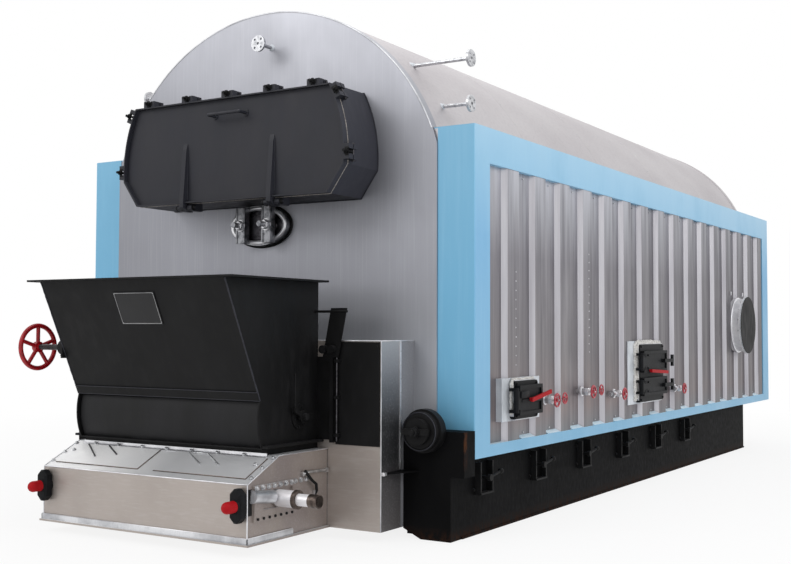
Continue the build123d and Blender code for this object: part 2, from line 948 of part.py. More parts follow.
def gate_lift():
    """The black frame behind the hopper with its post, arm and two small rollers."""
    span_x = (hopper_half_width + hopper_rail + running_gap, lift_half_width)
    body = block((hopper_half_width, lift_half_width), (wall_face - sheet, wall_face),
                 (hopper_floor + hopper_rail_drop, lift_top))
    post = block((lift_half_width - lift_post, lift_half_width),
                 (wall_face - lift_thickness, wall_face), (hopper_floor, lift_top))
    wall = hopper_half_width
    arm = slab_xz([(wall + lift_foot_inner_reach, lift_top),
                   (wall + lift_foot_outer_reach, lift_top),
                   (wall + lift_arm_outer_reach, lift_arm_top),
                   (wall + lift_arm_inner_reach, lift_arm_top)],
                  (wall_face - lift_thickness, wall_face - lift_thickness + sheet))
    foot = block((span_x[0], lift_half_width),
                 (wall_face - lift_thickness, wall_face), (lift_top - lift_post, lift_top))
    shaft = rod_x(lift_shaft_radius, (wall, wall + lift_arm_outer_reach),
                  wall_face - lift_thickness + sheet / 2, lift_arm_top - lift_shaft_drop)
    right = body + post + arm + foot + shaft
    for side in (0, 1):
        x = span_x[0] + lift_wheel_radius / 2 + side * (lift_wheel_gap - lift_wheel_radius)
        right += rod_y(lift_wheel_radius / 2, (wall_face - 2 * lift_thickness,
                                               wall_face - lift_thickness), x, lift_wheel_height)
    left_body = mirrored(body + post)
    return Compound([right, left_body])


def wheel_axis_y():
    return hopper_front_at(wheel_height) + wheel_setback


def hopper_handwheel():
    x = -hopper_half_width - wheel_reach
    y = wheel_axis_y()
    wheel = Pos(x, y, wheel_height) * Rot(0, 90, 0) * Torus(wheel_radius - wheel_rim, wheel_rim)
    wheel += rod_x(wheel_hub, (x - wheel_hub / 2, x + wheel_hub / 2), y, wheel_height)
    length = wheel_radius - wheel_rim
    for number in range(wheel_spokes):
        turn = 360 * number / wheel_spokes
        wheel += Pos(x, y, wheel_height) * Rot(turn, 0, 0) * Pos(0, 0, length / 2) \
            * Cylinder(wheel_spoke_radius, length)
    shaft_end = -hopper_half_width - pin_gap
    wheel += rod_x(wheel_shaft_radius, (x, shaft_end), y, wheel_height)
    return wheel


def wheel_bearing():
    """The boss on the hopper's left wall that carries the hand wheel's shaft."""
    y = wheel_axis_y()
    boss = rod_x(wheel_boss_radius, (-hopper_half_width - wheel_boss_length, -hopper_half_width),
                 y, wheel_height)
    boss -= rod_x(wheel_shaft_radius + pin_gap,
                  (-hopper_half_width - wheel_boss_length - overrun, -hopper_half_width),
                  y, wheel_height)
    return boss


def rating_plate():
    tilt = atan(hopper_lean())
    middle = label_top - label_height / 2
    shift = label_thickness / 2 / cos(tilt)
    return Pos(label_centre_x, hopper_front_at(middle) - shift, middle) * Rot(degrees(tilt), 0, 0) \
        * Box(label_width, label_thickness, label_height)


# Grate front box

def grate_front_box():
    front = ahead(grate_reach)
    deck = ahead(grate_deck_start)
    low = front_assembly_floor_gap
    outline = [(front, low), (front, grate_front_top), (deck, grate_deck),
               (wall_face, grate_deck), (wall_face, low)]
    body = slab_yz(outline, (-grate_half_width, grate_half_width))
    foot = block((-grate_half_width - grate_foot_flange, grate_half_width + grate_foot_flange),
                 (front - grate_foot_flange, wall_face), (low, low + grate_foot_thickness))
    return body + foot


def deck_height(y):
    """The height of the sloping deck's top at a place along it."""
    front = ahead(grate_reach)
    share = (y - front) / (ahead(grate_deck_start) - front)
    return grate_front_top + share * (grate_deck - grate_front_top)


def grate_lids():
    """Two flat lids on the sloping deck, in front of the hopper's toe."""
    front = ahead(grate_reach) + grate_lid_margin
    back = skirt_front() - grate_lid_margin / 2
    outline = [(front, deck_height(front)), (back, deck_height(back)),
               (back, deck_height(back) + grate_lid_thickness),
               (front, deck_height(front) + grate_lid_thickness)]
    inner = grate_lid_gap / 2
    outer = grate_half_width - grate_lid_inset
    lid = slab_yz(outline, (inner, outer))
    return Compound([lid, mirrored(lid)])


def tension_cap():
    """A tall cap with cut corners and a round-ended cover, on the take-up screw of the roller."""
    face = ahead(grate_reach)
    seat = rod_y(cap_seat_radius, (face - cap_seat_length, face), cap_x, cap_height)
    back = face - cap_seat_length
    nose = back - cap_length
    corners = [(cap_half_width - cap_corner, cap_half_height),
               (cap_half_width, cap_half_height - cap_corner)]
    ring = [(x, z) for x, z in corners] + [(x, -z) for x, z in reversed(corners)]
    ring += [(-x, -z) for x, z in corners] + [(-x, z) for x, z in reversed(corners)]
    cap = slab_xz([(cap_x + x, cap_height + z) for x, z in ring], (nose, back))
    cap = chamfer(cap.edges().group_by(Axis.Y)[0], cap_seat_length)
    dome = rod_y(cap_dome_radius, (nose - cap_dome_length + cap_dome_radius, nose),
                 cap_x, cap_height)
    dome += Pos(cap_x, nose - cap_dome_length + cap_dome_radius, cap_height) \
        * Sphere(cap_dome_radius)
    return seat + cap + dome


def tension_caps():
    right = tension_cap()
    return Compound([right, mirrored(right)])


def take_up_bearing():
    """The slotted plate on the grate box side, with the front roller's shaft end."""
    x = grate_half_width
    side = block((x, x + bearing_thickness), (ahead(bearing_front), ahead(bearing_rear)),
                 (bearing_bottom, bearing_top))
    slot = block((x - overrun, x + bearing_thickness + overrun),
                 (ahead(shaft_y + bearing_slot_length / 2), ahead(shaft_y - bearing_slot_length / 2)),
                 (shaft_height - bearing_slot_height / 2, shaft_height + bearing_slot_height / 2))
    shaft = rod_x(shaft_radius, (x, x + shaft_reach), ahead(shaft_y), shaft_height)
    shaft += rod_x(shaft_end_radius, (x + shaft_reach, x + shaft_reach + shaft_end_reach),
                   ahead(shaft_y), shaft_height)
    right = side - slot + shaft
    left = mirrored(side)
    return Compound([*right.solids(), left])


# Doors on the side casing

def surround(y_span, z_span, throat_y, throat_z):
    """A bare metal block let into the corrugated sheet round a door's throat."""
    body = block((core_half_width, surround_face), (spot(y_span[0]), spot(y_span[1])), z_span)
    throat = block((core_half_width - overrun, surround_face + overrun),
                   (spot(throat_y[0] + throat_wall), spot(throat_y[1] - throat_wall)),
                   (throat_z[0] + throat_wall, throat_z[1] - throat_wall))
    return body - throat


def door_frame(y_span, z_spans, depth, margin):
    """The cast frame on a surround, with a throat and a hinge pin for each leaf."""
    y0, y1 = y_span
    low = min(z[0] for z in z_spans) - margin
    high = max(z[1] for z in z_spans) + margin
    face = surround_face + depth
    frame = block((surround_face, face), (spot(y0), spot(y1)), (low, high))
    frame = fillet(frame.edges().filter_by(Axis.X), door_corner)
    for z0, z1 in z_spans:
        frame -= block((surround_face - overrun, face + overrun),
                       (spot(y0 + throat_wall), spot(y1 - throat_wall)),
                       (z0 + throat_wall, z1 - throat_wall))
        frame += hinge_ears(face, y0, z0, z1)
    return frame


def hinge_ears(face, y_edge, z0, z1):
    """An upright pin held by an ear at each end, beside the frame's front edge."""
    x = face + running_gap + side_door_thickness / 2
    y = spot(y_edge) - side_hinge_offset
    low = z0 + side_ear_inset
    high = z1 - side_ear_inset
    pin = rod_z(side_hinge_radius, (low, high), x, y)
    for z in (low, high - side_ear_height):
        z_span = (z, z + side_ear_height)
        pin += rod_z(side_hinge_radius * 2, z_span, x, y)
        pin += block((face - side_ear_height, x), (y - side_hinge_radius * 2, y + side_hinge_radius),
                     z_span)
        pin += block((face - side_ear_height, face), (y, spot(y_edge)), z_span)
    return pin


def door_leaf(face, y_span, z_span):
    """A cast leaf with a raised rim and a knuckle round its pin."""
    x0 = face + running_gap
    x1 = x0 + side_door_thickness
    y0, y1 = y_span
    z0, z1 = z_span
    leaf = block((x0, x1), (spot(y0), spot(y1)), (z0, z1))
    leaf -= block((x1 - side_door_relief, x1 + overrun),
                  (spot(y0 + side_door_rim), spot(y1 - side_door_rim)),
                  (z0 + side_door_rim, z1 - side_door_rim))
    x = x0 + side_door_thickness / 2
    y = spot(y0) - side_hinge_offset
    low = z0 + side_ear_inset + side_ear_height + pin_gap
    high = z1 - side_ear_inset - side_ear_height - pin_gap
    leaf += rod_z(side_hinge_radius * 2, (low, high), x, y)
    leaf += block((x0, x1), (y, spot(y0)), (low, high))
    leaf -= rod_z(side_hinge_radius + pin_gap, (z0 - overrun, z1 + overrun), x, y)
    return leaf


def frame_face(depth):
    return surround_face + depth


def inspection_surround():
    return surround(inspection_surround_y, inspection_surround_z, inspection_y, inspection_z)


def inspection_frame():
    return door_frame(inspection_y, [inspection_z], inspection_depth, inspection_margin)


def inspection_door():
    face = frame_face(inspection_depth)
    leaf = door_leaf(face, inspection_y, inspection_z)
    middle = (inspection_z[0] + inspection_z[1]) / 2
    return leaf + red_lever(face, inspection_y[1] - red_lever_setback, middle,
                            red_lever_length, red_lever_tilt)


def red_lever(face, y_back, height, length, tilt):
    """A flat lever on a boss in front of a leaf, pointing back and falling by its tilt."""
    x = face + running_gap + side_door_thickness
    y = spot(y_back)
    boss = rod_x(red_lever_width / 2, (x - side_door_relief, x + red_lever_standoff), y, height)
    lever = Pos(x + red_lever_standoff + red_lever_thickness / 2, y, height) \
        * Rot(-tilt, 0, 0) * Pos(0, length / 2, 0) \
        * Box(red_lever_thickness, length + red_lever_width, red_lever_width)
    return boss + lever


def fire_surround():
    return surround(fire_surround_y, fire_surround_z, fire_y,
                    (fire_lower_z[0], fire_upper_z[1]))


def fire_frame():
    return door_frame(fire_y, [fire_lower_z, fire_upper_z], fire_depth, fire_margin)


def fire_door(z_span):
    face = frame_face(fire_depth)
    leaf = door_leaf(face, fire_y, z_span)
    x = face + running_gap + side_door_thickness
    middle = (z_span[0] + z_span[1]) / 2
    reach = spot(fire_y[1])
    end = reach + latch_length / 2
    latch = block((x - side_door_relief, x + latch_thickness), (reach - latch_length / 2, end),
                  (middle - latch_width / 2, middle + latch_width / 2))
    latch += block((x, x + latch_thickness), (end - latch_hook_width, end),
                   (middle - latch_hook / 2, middle + latch_hook / 2))
    return leaf + latch


def fire_door_with_lever():
    """The upper leaf, which carries the red lever along its bottom edge."""
    return fire_door(fire_upper_z) + red_lever(frame_face(fire_depth),
                                               fire_y[1] - fire_lever_setback,
                                               fire_upper_z[0] + fire_lever_rise,
                                               fire_lever_length, fire_lever_tilt)


def left_surrounds():
    return Compound([mirrored(inspection_surround()), mirrored(fire_surround())])


def left_doors():
    pieces = [inspection_frame(), inspection_door(), fire_frame(),
              fire_door_with_lever(), fire_door(fire_lower_z)]
    return Compound([solid for piece in pieces for solid in mirrored(piece).solids()])


# Blow-down valves

def blowdown_valves():
    """Short pipes out of the side, each with a round valve body and a stem."""
    valves = []
    for y_back, z in valve_spots:
        y = spot(y_back)
        end = valve_face()
        valve = rod_x(valve_pipe_radius, (core_half_width, end), y, z)
        valve += rod_x(valve_body_radius, (end - valve_body_length, end), y, z)
        valve += rod_x(valve_stem_radius, (end, end + valve_stem_length), y, z)
        valves.append(valve)
    return Compound(valves)


def valve_face():
    return rib_crest + valve_reach + valve_body_length


def valve_wheel(number):
    y_back, z = valve_spots[number]
    y = spot(y_back)
    rim_radius = valve_wheel_radius - valve_wheel_rim
    x = valve_face() + valve_stem_length - valve_wheel_hub
    wheel = Pos(x, y, z) * Rot(0, 90, 0) * Torus(rim_radius, valve_wheel_rim)
    wheel += rod_x(valve_wheel_hub, (x - valve_wheel_hub / 2, x + valve_wheel_hub / 2), y, z)
    for arm in range(valve_wheel_arms):
        turn = 360 * arm / valve_wheel_arms
        wheel += Pos(x, y, z) * Rot(turn, 0, 0) * Pos(0, 0, rim_radius / 2) \
            * Cylinder(valve_wheel_rim * 2 / 3, rim_radius)
    return wheel - rod_x(valve_stem_radius + pin_gap, (x - overrun, x + overrun), y, z)


# Duct stub near the rear of the right side

def duct_stub():
    y = spot(duct_y)
    stub = rod_x(duct_radius, (core_half_width, duct_face), y, duct_height)
    stub += rod_x(duct_radius + duct_flange, (duct_face - duct_flange_thickness, duct_face),
                  y, duct_height)
    return stub - rod_x(duct_radius - duct_wall, (core_half_width - overrun, duct_face + overrun),
                        y, duct_height)


def duct_blank():
    return rod_x(duct_radius + duct_flange, (duct_face, side_reach),
                 spot(duct_y), duct_height)


def side_openings(with_duct):
    """What is let into the corrugated sheet, as solid blocks."""
    cuts = block((core_half_width, surround_face),
                 (spot(inspection_surround_y[0]), spot(inspection_surround_y[1])),
                 inspection_surround_z)
    cuts += block((core_half_width, surround_face),
                  (spot(fire_surround_y[0]), spot(fire_surround_y[1])), fire_surround_z)
    if with_duct:
        cuts += rod_x(duct_radius, (core_half_width - overrun, rib_crest + overrun),
                      spot(duct_y), duct_height)
        for y_back, z in valve_spots:
            cuts += rod_x(valve_pipe_radius, (core_half_width - overrun, rib_crest + overrun),
                          spot(y_back), z)
    return cuts


def parts():
    levers = {f"damper_lever_{number}": damper_lever(y)
              for number, y in enumerate(damper_centres(), start=1)}
    wheels = {f"valve_wheel_{number + 1}": valve_wheel(number)
              for number in range(len(valve_spots))}
    left_levers = [mirrored(lever) for lever in levers.values()]
    return {
        "casing_core": casing_core(),
        "drum_cladding": drum_cladding(),
        "front_plate": front_plate(),
        "rear_plate": rear_plate(),
        "casing_frame_right": casing_frame(),
        "casing_frame_left": mirrored(casing_frame()),
        "corrugated_panel_right": corrugated_panel() - side_openings(with_duct=True),
        "corrugated_panel_left": mirrored(corrugated_panel() - side_openings(with_duct=False)),
        "base_side_right": base_side(),
        "base_side_left": mirrored(base_side()),
        "base_front_boxes": Compound([base_front(), mirrored(base_front())]),
        "base_rear_beam": base_rear_beam(),
        "stoker_chassis": stoker_chassis(),
        "damper_boxes_right": damper_brackets(),
        "damper_boxes_left": mirrored(damper_brackets()),
        **levers,
        "damper_levers_left": Compound(left_levers),
        "header_ends": Compound([header_end(), mirrored(header_end())]),
        "front_wall_box": front_wall_box(),
        "wall_panels": wall_panels(),
        "smokebox_shell": smokebox_shell(),
        "smokebox_door": smokebox_door(),
        "smokebox_hinges": smokebox_hinges(),
        "manhole": manhole(),
        "front_nozzle": nozzle_front(),
        "level_nozzles": level_nozzles(),
        "hopper": hopper(),
        "fan_gate": fan_gate(),
        "gate_lever": gate_lever(),
        "gate_lift": gate_lift(),
        "hopper_handwheel": hopper_handwheel(),
        "handwheel_bearing": wheel_bearing(),
        "rating_plate": rating_plate(),
        "grate_front_box": grate_front_box(),
        "grate_lids": grate_lids(),
        "tension_caps": tension_caps(),
        "take_up_bearings": take_up_bearing(),
        "inspection_surround": inspection_surround(),
        "inspection_frame": inspection_frame(),
        "inspection_door": inspection_door(),
        "fire_surround": fire_surround(),
        "fire_frame": fire_frame(),
        "fire_door_upper": fire_door_with_lever(),
        "fire_door_lower": fire_door(fire_lower_z),
        "door_surrounds_left": left_surrounds(),
        "side_doors_left": left_doors(),
        "blowdown_valves": blowdown_valves(),
        **wheels,
        "duct_stub": duct_stub(),
        "duct_blank": duct_blank(),
    }


os.makedirs("parts", exist_ok=True)
for name, shape in parts().items():
    export_step(shape, f"parts/{name}.step")
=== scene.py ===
"""Looks of a packaged chain-grate steam boiler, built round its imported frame, in metres."""

import json
import math
import random
from functools import partial

import bmesh
import bpy
from mathutils import Matrix, Vector


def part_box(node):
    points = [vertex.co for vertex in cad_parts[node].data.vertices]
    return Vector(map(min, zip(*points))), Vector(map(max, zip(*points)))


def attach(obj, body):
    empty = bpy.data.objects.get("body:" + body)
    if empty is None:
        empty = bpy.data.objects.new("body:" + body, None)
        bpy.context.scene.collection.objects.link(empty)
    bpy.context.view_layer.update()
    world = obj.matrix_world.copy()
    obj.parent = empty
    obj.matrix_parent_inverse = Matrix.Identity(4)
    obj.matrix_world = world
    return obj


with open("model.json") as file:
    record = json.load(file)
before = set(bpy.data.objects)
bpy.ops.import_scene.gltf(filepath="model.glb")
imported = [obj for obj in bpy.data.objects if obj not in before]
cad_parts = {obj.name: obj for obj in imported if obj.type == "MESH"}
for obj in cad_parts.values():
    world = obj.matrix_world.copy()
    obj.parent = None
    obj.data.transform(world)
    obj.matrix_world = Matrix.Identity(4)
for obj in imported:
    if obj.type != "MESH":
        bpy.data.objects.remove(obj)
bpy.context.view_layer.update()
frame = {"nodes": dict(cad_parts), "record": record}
nodes = frame["nodes"]
chance = random.Random(41)
MM = 0.001

# Camera, fitted to the photograph
CAMERA_PLACE = Vector((4.150, -7.7575, 1.089))
CAMERA_YAW = math.radians(31.868)
CAMERA_PITCH = math.radians(2.426)
CAMERA_ROLL = math.radians(0.170)
LENS_MM = 51.30
SENSOR_MM = 36.0


def face_of(node, side, axis):
    """One face of a node's box in millimetres: side 0 is the low one, 1 the high one."""
    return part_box(node)[side][axis] / MM


# Places taken from the frame, in millimetres
CASING_FRONT = face_of("casing_frame_right", 0, 1)
CASING_BACK = face_of("casing_frame_right", 1, 1)
CASING_TOP = face_of("casing_frame_right", 1, 2)
CASING_HALF = face_of("casing_frame_right", 1, 0)
PLATE_FACE = face_of("front_plate", 0, 1)
WALL_FACE = face_of("front_wall_box", 0, 1)
WALL_HALF = face_of("front_wall_box", 1, 0)
WALL_TOP = face_of("front_wall_box", 1, 2)
PANEL_TOP = face_of("corrugated_panel_right", 1, 2)
PANEL_BOTTOM = face_of("corrugated_panel_right", 0, 2)
PANEL_FRONT = face_of("corrugated_panel_right", 0, 1)
PANEL_BACK = face_of("corrugated_panel_right", 1, 1)
RIB_CREST = face_of("corrugated_panel_right", 1, 0)
RIB_DEPTH = 30
RIB_PITCH = 360
FIRST_CREST = 395
CREST_WIDTH = 146
DRUM_RADIUS = 1230
DRUM_HEIGHT = 1730
BOX_FLANGE = 16
GRATE_HALF = face_of("grate_front_box", 1, 0) - BOX_FLANGE
GRATE_FRONT = face_of("grate_front_box", 0, 1) + BOX_FLANGE
GRATE_FRONT_TOP = 348
GRATE_DECK = face_of("grate_front_box", 1, 2)
GRATE_BEND = CASING_FRONT - 752
GRATE_FOOT = face_of("grate_front_box", 0, 2)
SMOKEBOX_RADIUS = 802
SMOKEBOX_HEIGHT = 2028
SMOKEBOX_TOP = 2403
SMOKEBOX_BOTTOM = 1816
SHELL_FRONT = CASING_FRONT - 300


# Nodes of a material

def linear(hex_colour):
    """An sRGB hex colour as linear RGBA."""
    parts = [int(hex_colour[i:i + 2], 16) / 255 for i in (1, 3, 5)]
    return tuple(c / 12.92 if c <= 0.04045 else ((c + 0.055) / 1.055) ** 2.4 for c in parts) + (1.0,)


def add(tree, kind, *inputs, output=None, **settings):
    """Adds a node with its settings and gives one output: the one named, or else the first in use.

    The inputs go to the sockets in use, in order. Each is a number, a hex colour or another node's
    output, and None leaves its socket as it is.
    """
    node = tree.nodes.new("ShaderNode" + kind)
    for name, value in settings.items():
        setattr(node, name, value)
    for socket, value in zip([s for s in node.inputs if s.enabled], inputs):
        if isinstance(value, bpy.types.NodeSocket):
            tree.links.new(value, socket)
        elif value is not None:
            socket.default_value = linear(value) if isinstance(value, str) else value
    return node.outputs[output] if output else next((s for s in node.outputs if s.enabled), None)


def new_material(name, metallic=0.0, specular=0.5, roughness=0.5):
    """A material, the function that adds its nodes, the place on the piece, and its plain shader."""
    material = bpy.data.materials.new(name)
    material.use_nodes = True
    tree = material.node_tree
    tree.nodes.clear()
    surface = add(tree, "BsdfPrincipled", None, metallic, roughness)
    surface.node.inputs["Specular IOR Level"].default_value = specular
    add(tree, "OutputMaterial", surface)
    return material, partial(add, tree), add(tree, "TexCoord", output="Object"), surface.node


def join(shader, **varying):
    """Joins what varies over the surface to the shader, such as its base_color, roughness and normal."""
    for name, value in varying.items():
        shader.id_data.links.new(value, shader.inputs[name.replace("_", " ").title()])


def blots(size_mm):
    """The scale of a pattern whose blots are about so many millimetres across."""
    return 1 / (size_mm * MM)


def drawn_noise(place, sizes_mm, detail, roughness=0.55):
    """Noise whose blots have these sizes in millimetres along X, Y and Z."""
    tree = place.id_data
    mapped = add(tree, "Mapping", place, None, None, [blots(size) for size in sizes_mm])
    return add(tree, "TexNoise", mapped, 1, detail, roughness)


def blend(share, first, second):
    """One colour turned into another by a share from 0 to 1."""
    return add(share.id_data, "Mix", share, first, second, data_type="RGBA")


def by_height(node, height, *stops):
    """A colour that changes with height: stops are pairs of a height in metres and a hex colour."""
    low, high = stops[0][0], stops[-1][0]
    ramp = node("ValToRGB", node("MapRange", height, low, high))
    elements = ramp.node.color_ramp.elements
    while len(elements) < len(stops):
        elements.new(0.5)
    for index, (place, colour) in enumerate(stops):
        elements[index].position = (place - low) / (high - low)
    for index, (place, colour) in enumerate(stops):
        elements[index].color = linear(colour)
    return ramp


# Materials

# Pairs of places in metres between which a material changes from one look to the other
# The side sheet's painted shade, darker towards the back
SHEET_PAINTED_SHADE_SPAN = (-1.5, 3)
RUSTY_FOOT = (0.01, 0.07)
FRONT_BOX_SIDE = (1.394, 1.399)
FRONT_BOX_BACK = (-2.625, -2.645)
FRONT_BOX_RUST = (0.36, 0.46)
BEYOND_BEARING = (0.7165, 0.7185)
BEARING_BACK = (-3.18, -3.19)
BEARING_FOOT = (0.15, 0.16)


def brushed_front_sheet(name):
    """Satin aluminium sheet with painted light: lighter and bluer towards the top and lighter again low
    down, with painted shade darkening its left part; soft upright brush marks, faint clouds.
    """
    material, node, place, shader = new_material(name, metallic=0.85)
    x, _, z = node("SeparateXYZ", place).node.outputs
    clouds = drawn_noise(place, (380, 380, 608), 3)
    brush = drawn_noise(place, (7, 7, 490), 2)
    canning = node("TexNoise", place, blots(700), 1, 0.55)
    # Painted light: the colour by height is lighter towards the top and low down.
    colour = by_height(node, z, (0.5, "#C2C4C9"), (1.0, "#AEB0B6"), (1.35, "#9D9EA5"), (2.0, "#A1A2A9"),
                       (2.6, "#B0B1B8"), (3.0, "#BCBDC4"))
    # Painted shade: the plate is darker towards its left.
    painted_shade_leftwards = node("MapRange", x, -0.2, -1.2, 0, 0.5)
    colour = blend(painted_shade_leftwards, colour, "#7D7E84")
    colour = blend(node("MapRange", clouds, 0.42, 0.7, 0, 0.22), colour, "#8B8B90")
    colour = blend(node("MapRange", brush, 0.5, 0.8, 0, 0.1), colour, "#E4E4E8")
    buckled = node("Bump", 0.25, 3 * MM, None, canning)
    join(shader, base_color=colour, roughness=node("MapRange", clouds, 0.3, 0.7, 0.44, 0.54),
         normal=node("Bump", 0.3, 0.12 * MM, None, brush, buckled))
    return material


def drum_cladding_sheet(name):
    """Plain warm-grey aluminium cladding: nearly even, with fine specks and a trace of oil-canning."""
    material, node, place, shader = new_material(name, metallic=0.7)
    clouds = drawn_noise(place, (600, 1200, 600), 3)
    specks = drawn_noise(place, (18, 27, 18), 2)
    canning = node("TexNoise", place, blots(620), 1, 0.55)
    colour = blend(node("MapRange", clouds, 0.35, 0.7), "#C3BFC1", "#B5B0B3")
    colour = blend(node("MapRange", specks, 0.5, 0.75, 0, 0.14), colour, "#98949A")
    join(shader, base_color=colour, roughness=node("MapRange", specks, 0.3, 0.75, 0.46, 0.56),
         normal=node("Bump", 0.25, 4 * MM, None, canning))
    return material


def plain_aluminium(name, light, dark, roughness, metallic=0.9):
    """Mill-finish aluminium trim and folded sheet: soft cloudy mottling and small handling marks."""
    material, node, place, shader = new_material(name, metallic=metallic)
    clouds = node("TexNoise", place, blots(120), 4, 0.55)
    marks = drawn_noise(place, (9, 9, 45), 3)
    colour = blend(node("MapRange", clouds, 0.35, 0.7), light, dark)
    colour = blend(node("MapRange", marks, 0.55, 0.8, 0, 0.3), colour, dark)
    join(shader, base_color=colour, roughness=node("MapRange", marks, 0.3, 0.7, roughness, roughness + 0.14),
         normal=node("Bump", 0.4, 0.3 * MM, None, marks))
    return material


def trapezoidal_sheet(name):
    """Rolled sheet with painted light: streaked flats painted darker than the flanks, paler towards the top,
    browner low down, with painted shade darkening them towards the back; the flanks are a painted bright
    copy.
    """
    material, node, place, shader = new_material(name, metallic=0.9)
    _, y, z = node("SeparateXYZ", place).node.outputs
    sideways = node("SeparateXYZ", node("NewGeometry", output="Normal"), output="X")
    broad = drawn_noise(place, (70, 70, 1120), 4, 0.6)
    fine = drawn_noise(place, (10, 10, 600), 3)
    clouds = drawn_noise(place, (300, 300, 750), 3)
    # Painted light on the flats: paler towards the top.
    painted_shade_flats = by_height(node, z, (0.46, "#7E8489"), (0.62, "#8B7E7D"), (0.95, "#827E80"), (1.5, "#89878D"),
                     (1.98, "#C2C4CC"))
    painted_shade_flats = blend(node("MapRange", broad, 0.42, 0.66, 0, 0.55), painted_shade_flats, "#66646A")
    painted_shade_flats = blend(node("MapRange", fine, 0.5, 0.72, 0, 0.35), painted_shade_flats, "#A29FA2")
    painted_shade_flats = blend(node("MapRange", clouds, 0.55, 0.75, 0, 0.3), painted_shade_flats, "#ABA9AC")
    # Painted shade: the flats darken towards the back.
    painted_shade_flats = blend(node("MapRange", y, *SHEET_PAINTED_SHADE_SPAN, 0, 0.62), painted_shade_flats, "#58555A")
    # Painted highlight: the flanks take a bright copy of the sheet's colour, the flats the shaded one.
    bright = blend(node("MapRange", broad, 0.3, 0.7), "#C6C5CA", "#ADABB1")
    flat = node("MapRange", node("Math", sideways, operation="ABSOLUTE"), 0.75, 0.95)
    join(shader, base_color=blend(flat, bright, painted_shade_flats),
         roughness=node("MapRange", broad, 0.3, 0.7, 0.38, 0.52),
         normal=node("Bump", 0.5, 0.4 * MM, None, fine))
    return material


def sky_enamel(name):
    """Sprayed pale-blue enamel on folded sheet, with painted light: lighter towards the top, sides lighter
    than the front, and up-facing ledges near white as a painted highlight.
    """
    material, node, place, shader = new_material(name, specular=0.35)
    height = node("SeparateXYZ", place, output="Z")
    sideways, _, upward = node("SeparateXYZ", node("NewGeometry", output="Normal")).node.outputs
    streaks = drawn_noise(place, (34, 34, 748), 3)
    patches = drawn_noise(place, (300, 300, 540), 4)
    # Painted light: both colours by height grow lighter towards the top.
    front = by_height(node, height, (0.42, "#6FB0D3"), (1.3, "#76B5D8"), (2.2, "#82BBDB"))
    side = by_height(node, height, (0.42, "#86BBDC"), (1.6, "#7FB8E0"), (1.95, "#93C6E6"), (2.18, "#A4D0EC"))
    # Painted light: the sides are a lit copy of the colour, the front a shaded one.
    on_side = node("MapRange", node("Math", sideways, operation="ABSOLUTE"), 0.3, 0.7)
    colour = blend(on_side, front, side)
    # Painted highlight: up-facing faces turn near white.
    colour = blend(node("MapRange", upward, 0.4, 0.7), colour, "#D6ECF8")
    colour = blend(node("MapRange", streaks, 0.5, 0.75, 0, 0.16), colour, "#A9D4EC")
    colour = blend(node("MapRange", patches, 0.5, 0.75, 0, 0.18), colour, "#6AA7CB")
    join(shader, base_color=colour, roughness=node("MapRange", patches, 0.35, 0.75, 0.36, 0.5),
         normal=node("Bump", 0.5, 0.12 * MM, None, node("TexNoise", place, blots(5), 2, 0.55)))
    return material


def rolled_on_paint(name, base, patch, dust, roughness, specular=0.2, side=None):
    """Paint on welded plate: faint patches, thin dust in patches with painted light on up-facing faces,
    orange-peel bump; a side colour, when given, is painted light on the side faces.
    """
    material, node, place, shader = new_material(name, specular=specular)
    sideways, _, upward = node("SeparateXYZ", node("NewGeometry", output="Normal")).node.outputs
    patches = drawn_noise(place, (240, 240, 432), 4)
    drift = drawn_noise(place, (50, 50, 150), 4)
    colour = blend(node("MapRange", patches, 0.38, 0.66), base, patch)
    # Painted light: side faces take the side colour, a lit copy of the paint.
    if side is not None:
        on_side = node("MapRange", node("Math", sideways, operation="ABSOLUTE"), 0.5, 0.8)
        colour = blend(on_side, colour, side)
    # Dust in patches, and painted light that lightens up-facing faces.
    dust_and_top_light = node("Math", node("MapRange", drift, 0.5, 0.8, 0, 0.25),
                 node("MapRange", upward, 0.4, 0.95, 0, 0.55), operation="MAXIMUM")
    join(shader, base_color=blend(dust_and_top_light, colour, dust),
         roughness=node("MapRange", drift, 0.35, 0.75, roughness - 0.06, roughness + 0.14),
         normal=node("Bump", 0.5, 0.15 * MM, None, node("TexNoise", place, blots(6), 2, 0.55)))
    return material


def rusting_black(name):
    """Black paint on the base: rust bleeds through low down and on the front corner box's side."""
    material, node, place, shader = new_material(name, specular=0.04)
    x, y, z = node("SeparateXYZ", place).node.outputs
    patches = drawn_noise(place, (260, 260, 390), 4)
    speckle = drawn_noise(place, (24, 24, 48), 5, 0.7)
    low = node("MapRange", z, *RUSTY_FOOT, 0.35, 0)
    box_side = node("MapRange", node("Math", x, operation="ABSOLUTE"), *FRONT_BOX_SIDE)
    box_side = node("Math", box_side, node("MapRange", y, *FRONT_BOX_BACK), operation="MULTIPLY")
    box_side = node("Math", box_side, node("MapRange", z, *FRONT_BOX_RUST), operation="MULTIPLY")
    rust = node("Math", node("Math", low, box_side, operation="MAXIMUM"),
                node("MapRange", speckle, 0.42, 0.6), operation="MULTIPLY")
    colour = blend(node("MapRange", patches, 0.38, 0.66), "#0B0B0C", "#111112")
    colour = blend(node("MapRange", speckle, 0.55, 0.8, 0, 0.14), colour, "#2B2A2B")
    join(shader, base_color=blend(rust, colour, "#4A2E1E"),
         roughness=node("MapRange", speckle, 0.3, 0.7, 0.5, 0.72),
         normal=node("Bump", 0.4, 0.4 * MM, None, speckle))
    return material


def machined_steel(name, light, dark, roughness):
    """Turned or polished steel: light tarnish spots over fine tool marks."""
    material, node, place, shader = new_material(name, metallic=1.0)
    spots = node("TexNoise", place, blots(24), 4, 0.55)
    colour = blend(node("MapRange", spots, 0.42, 0.68), light, dark)
    join(shader, base_color=colour, roughness=node("MapRange", spots, 0.3, 0.7, roughness, roughness + 0.16),
         normal=node("Bump", 0.4, 0.05 * MM, None, node("TexNoise", place, blots(3), 1, 0.55)))
    return material


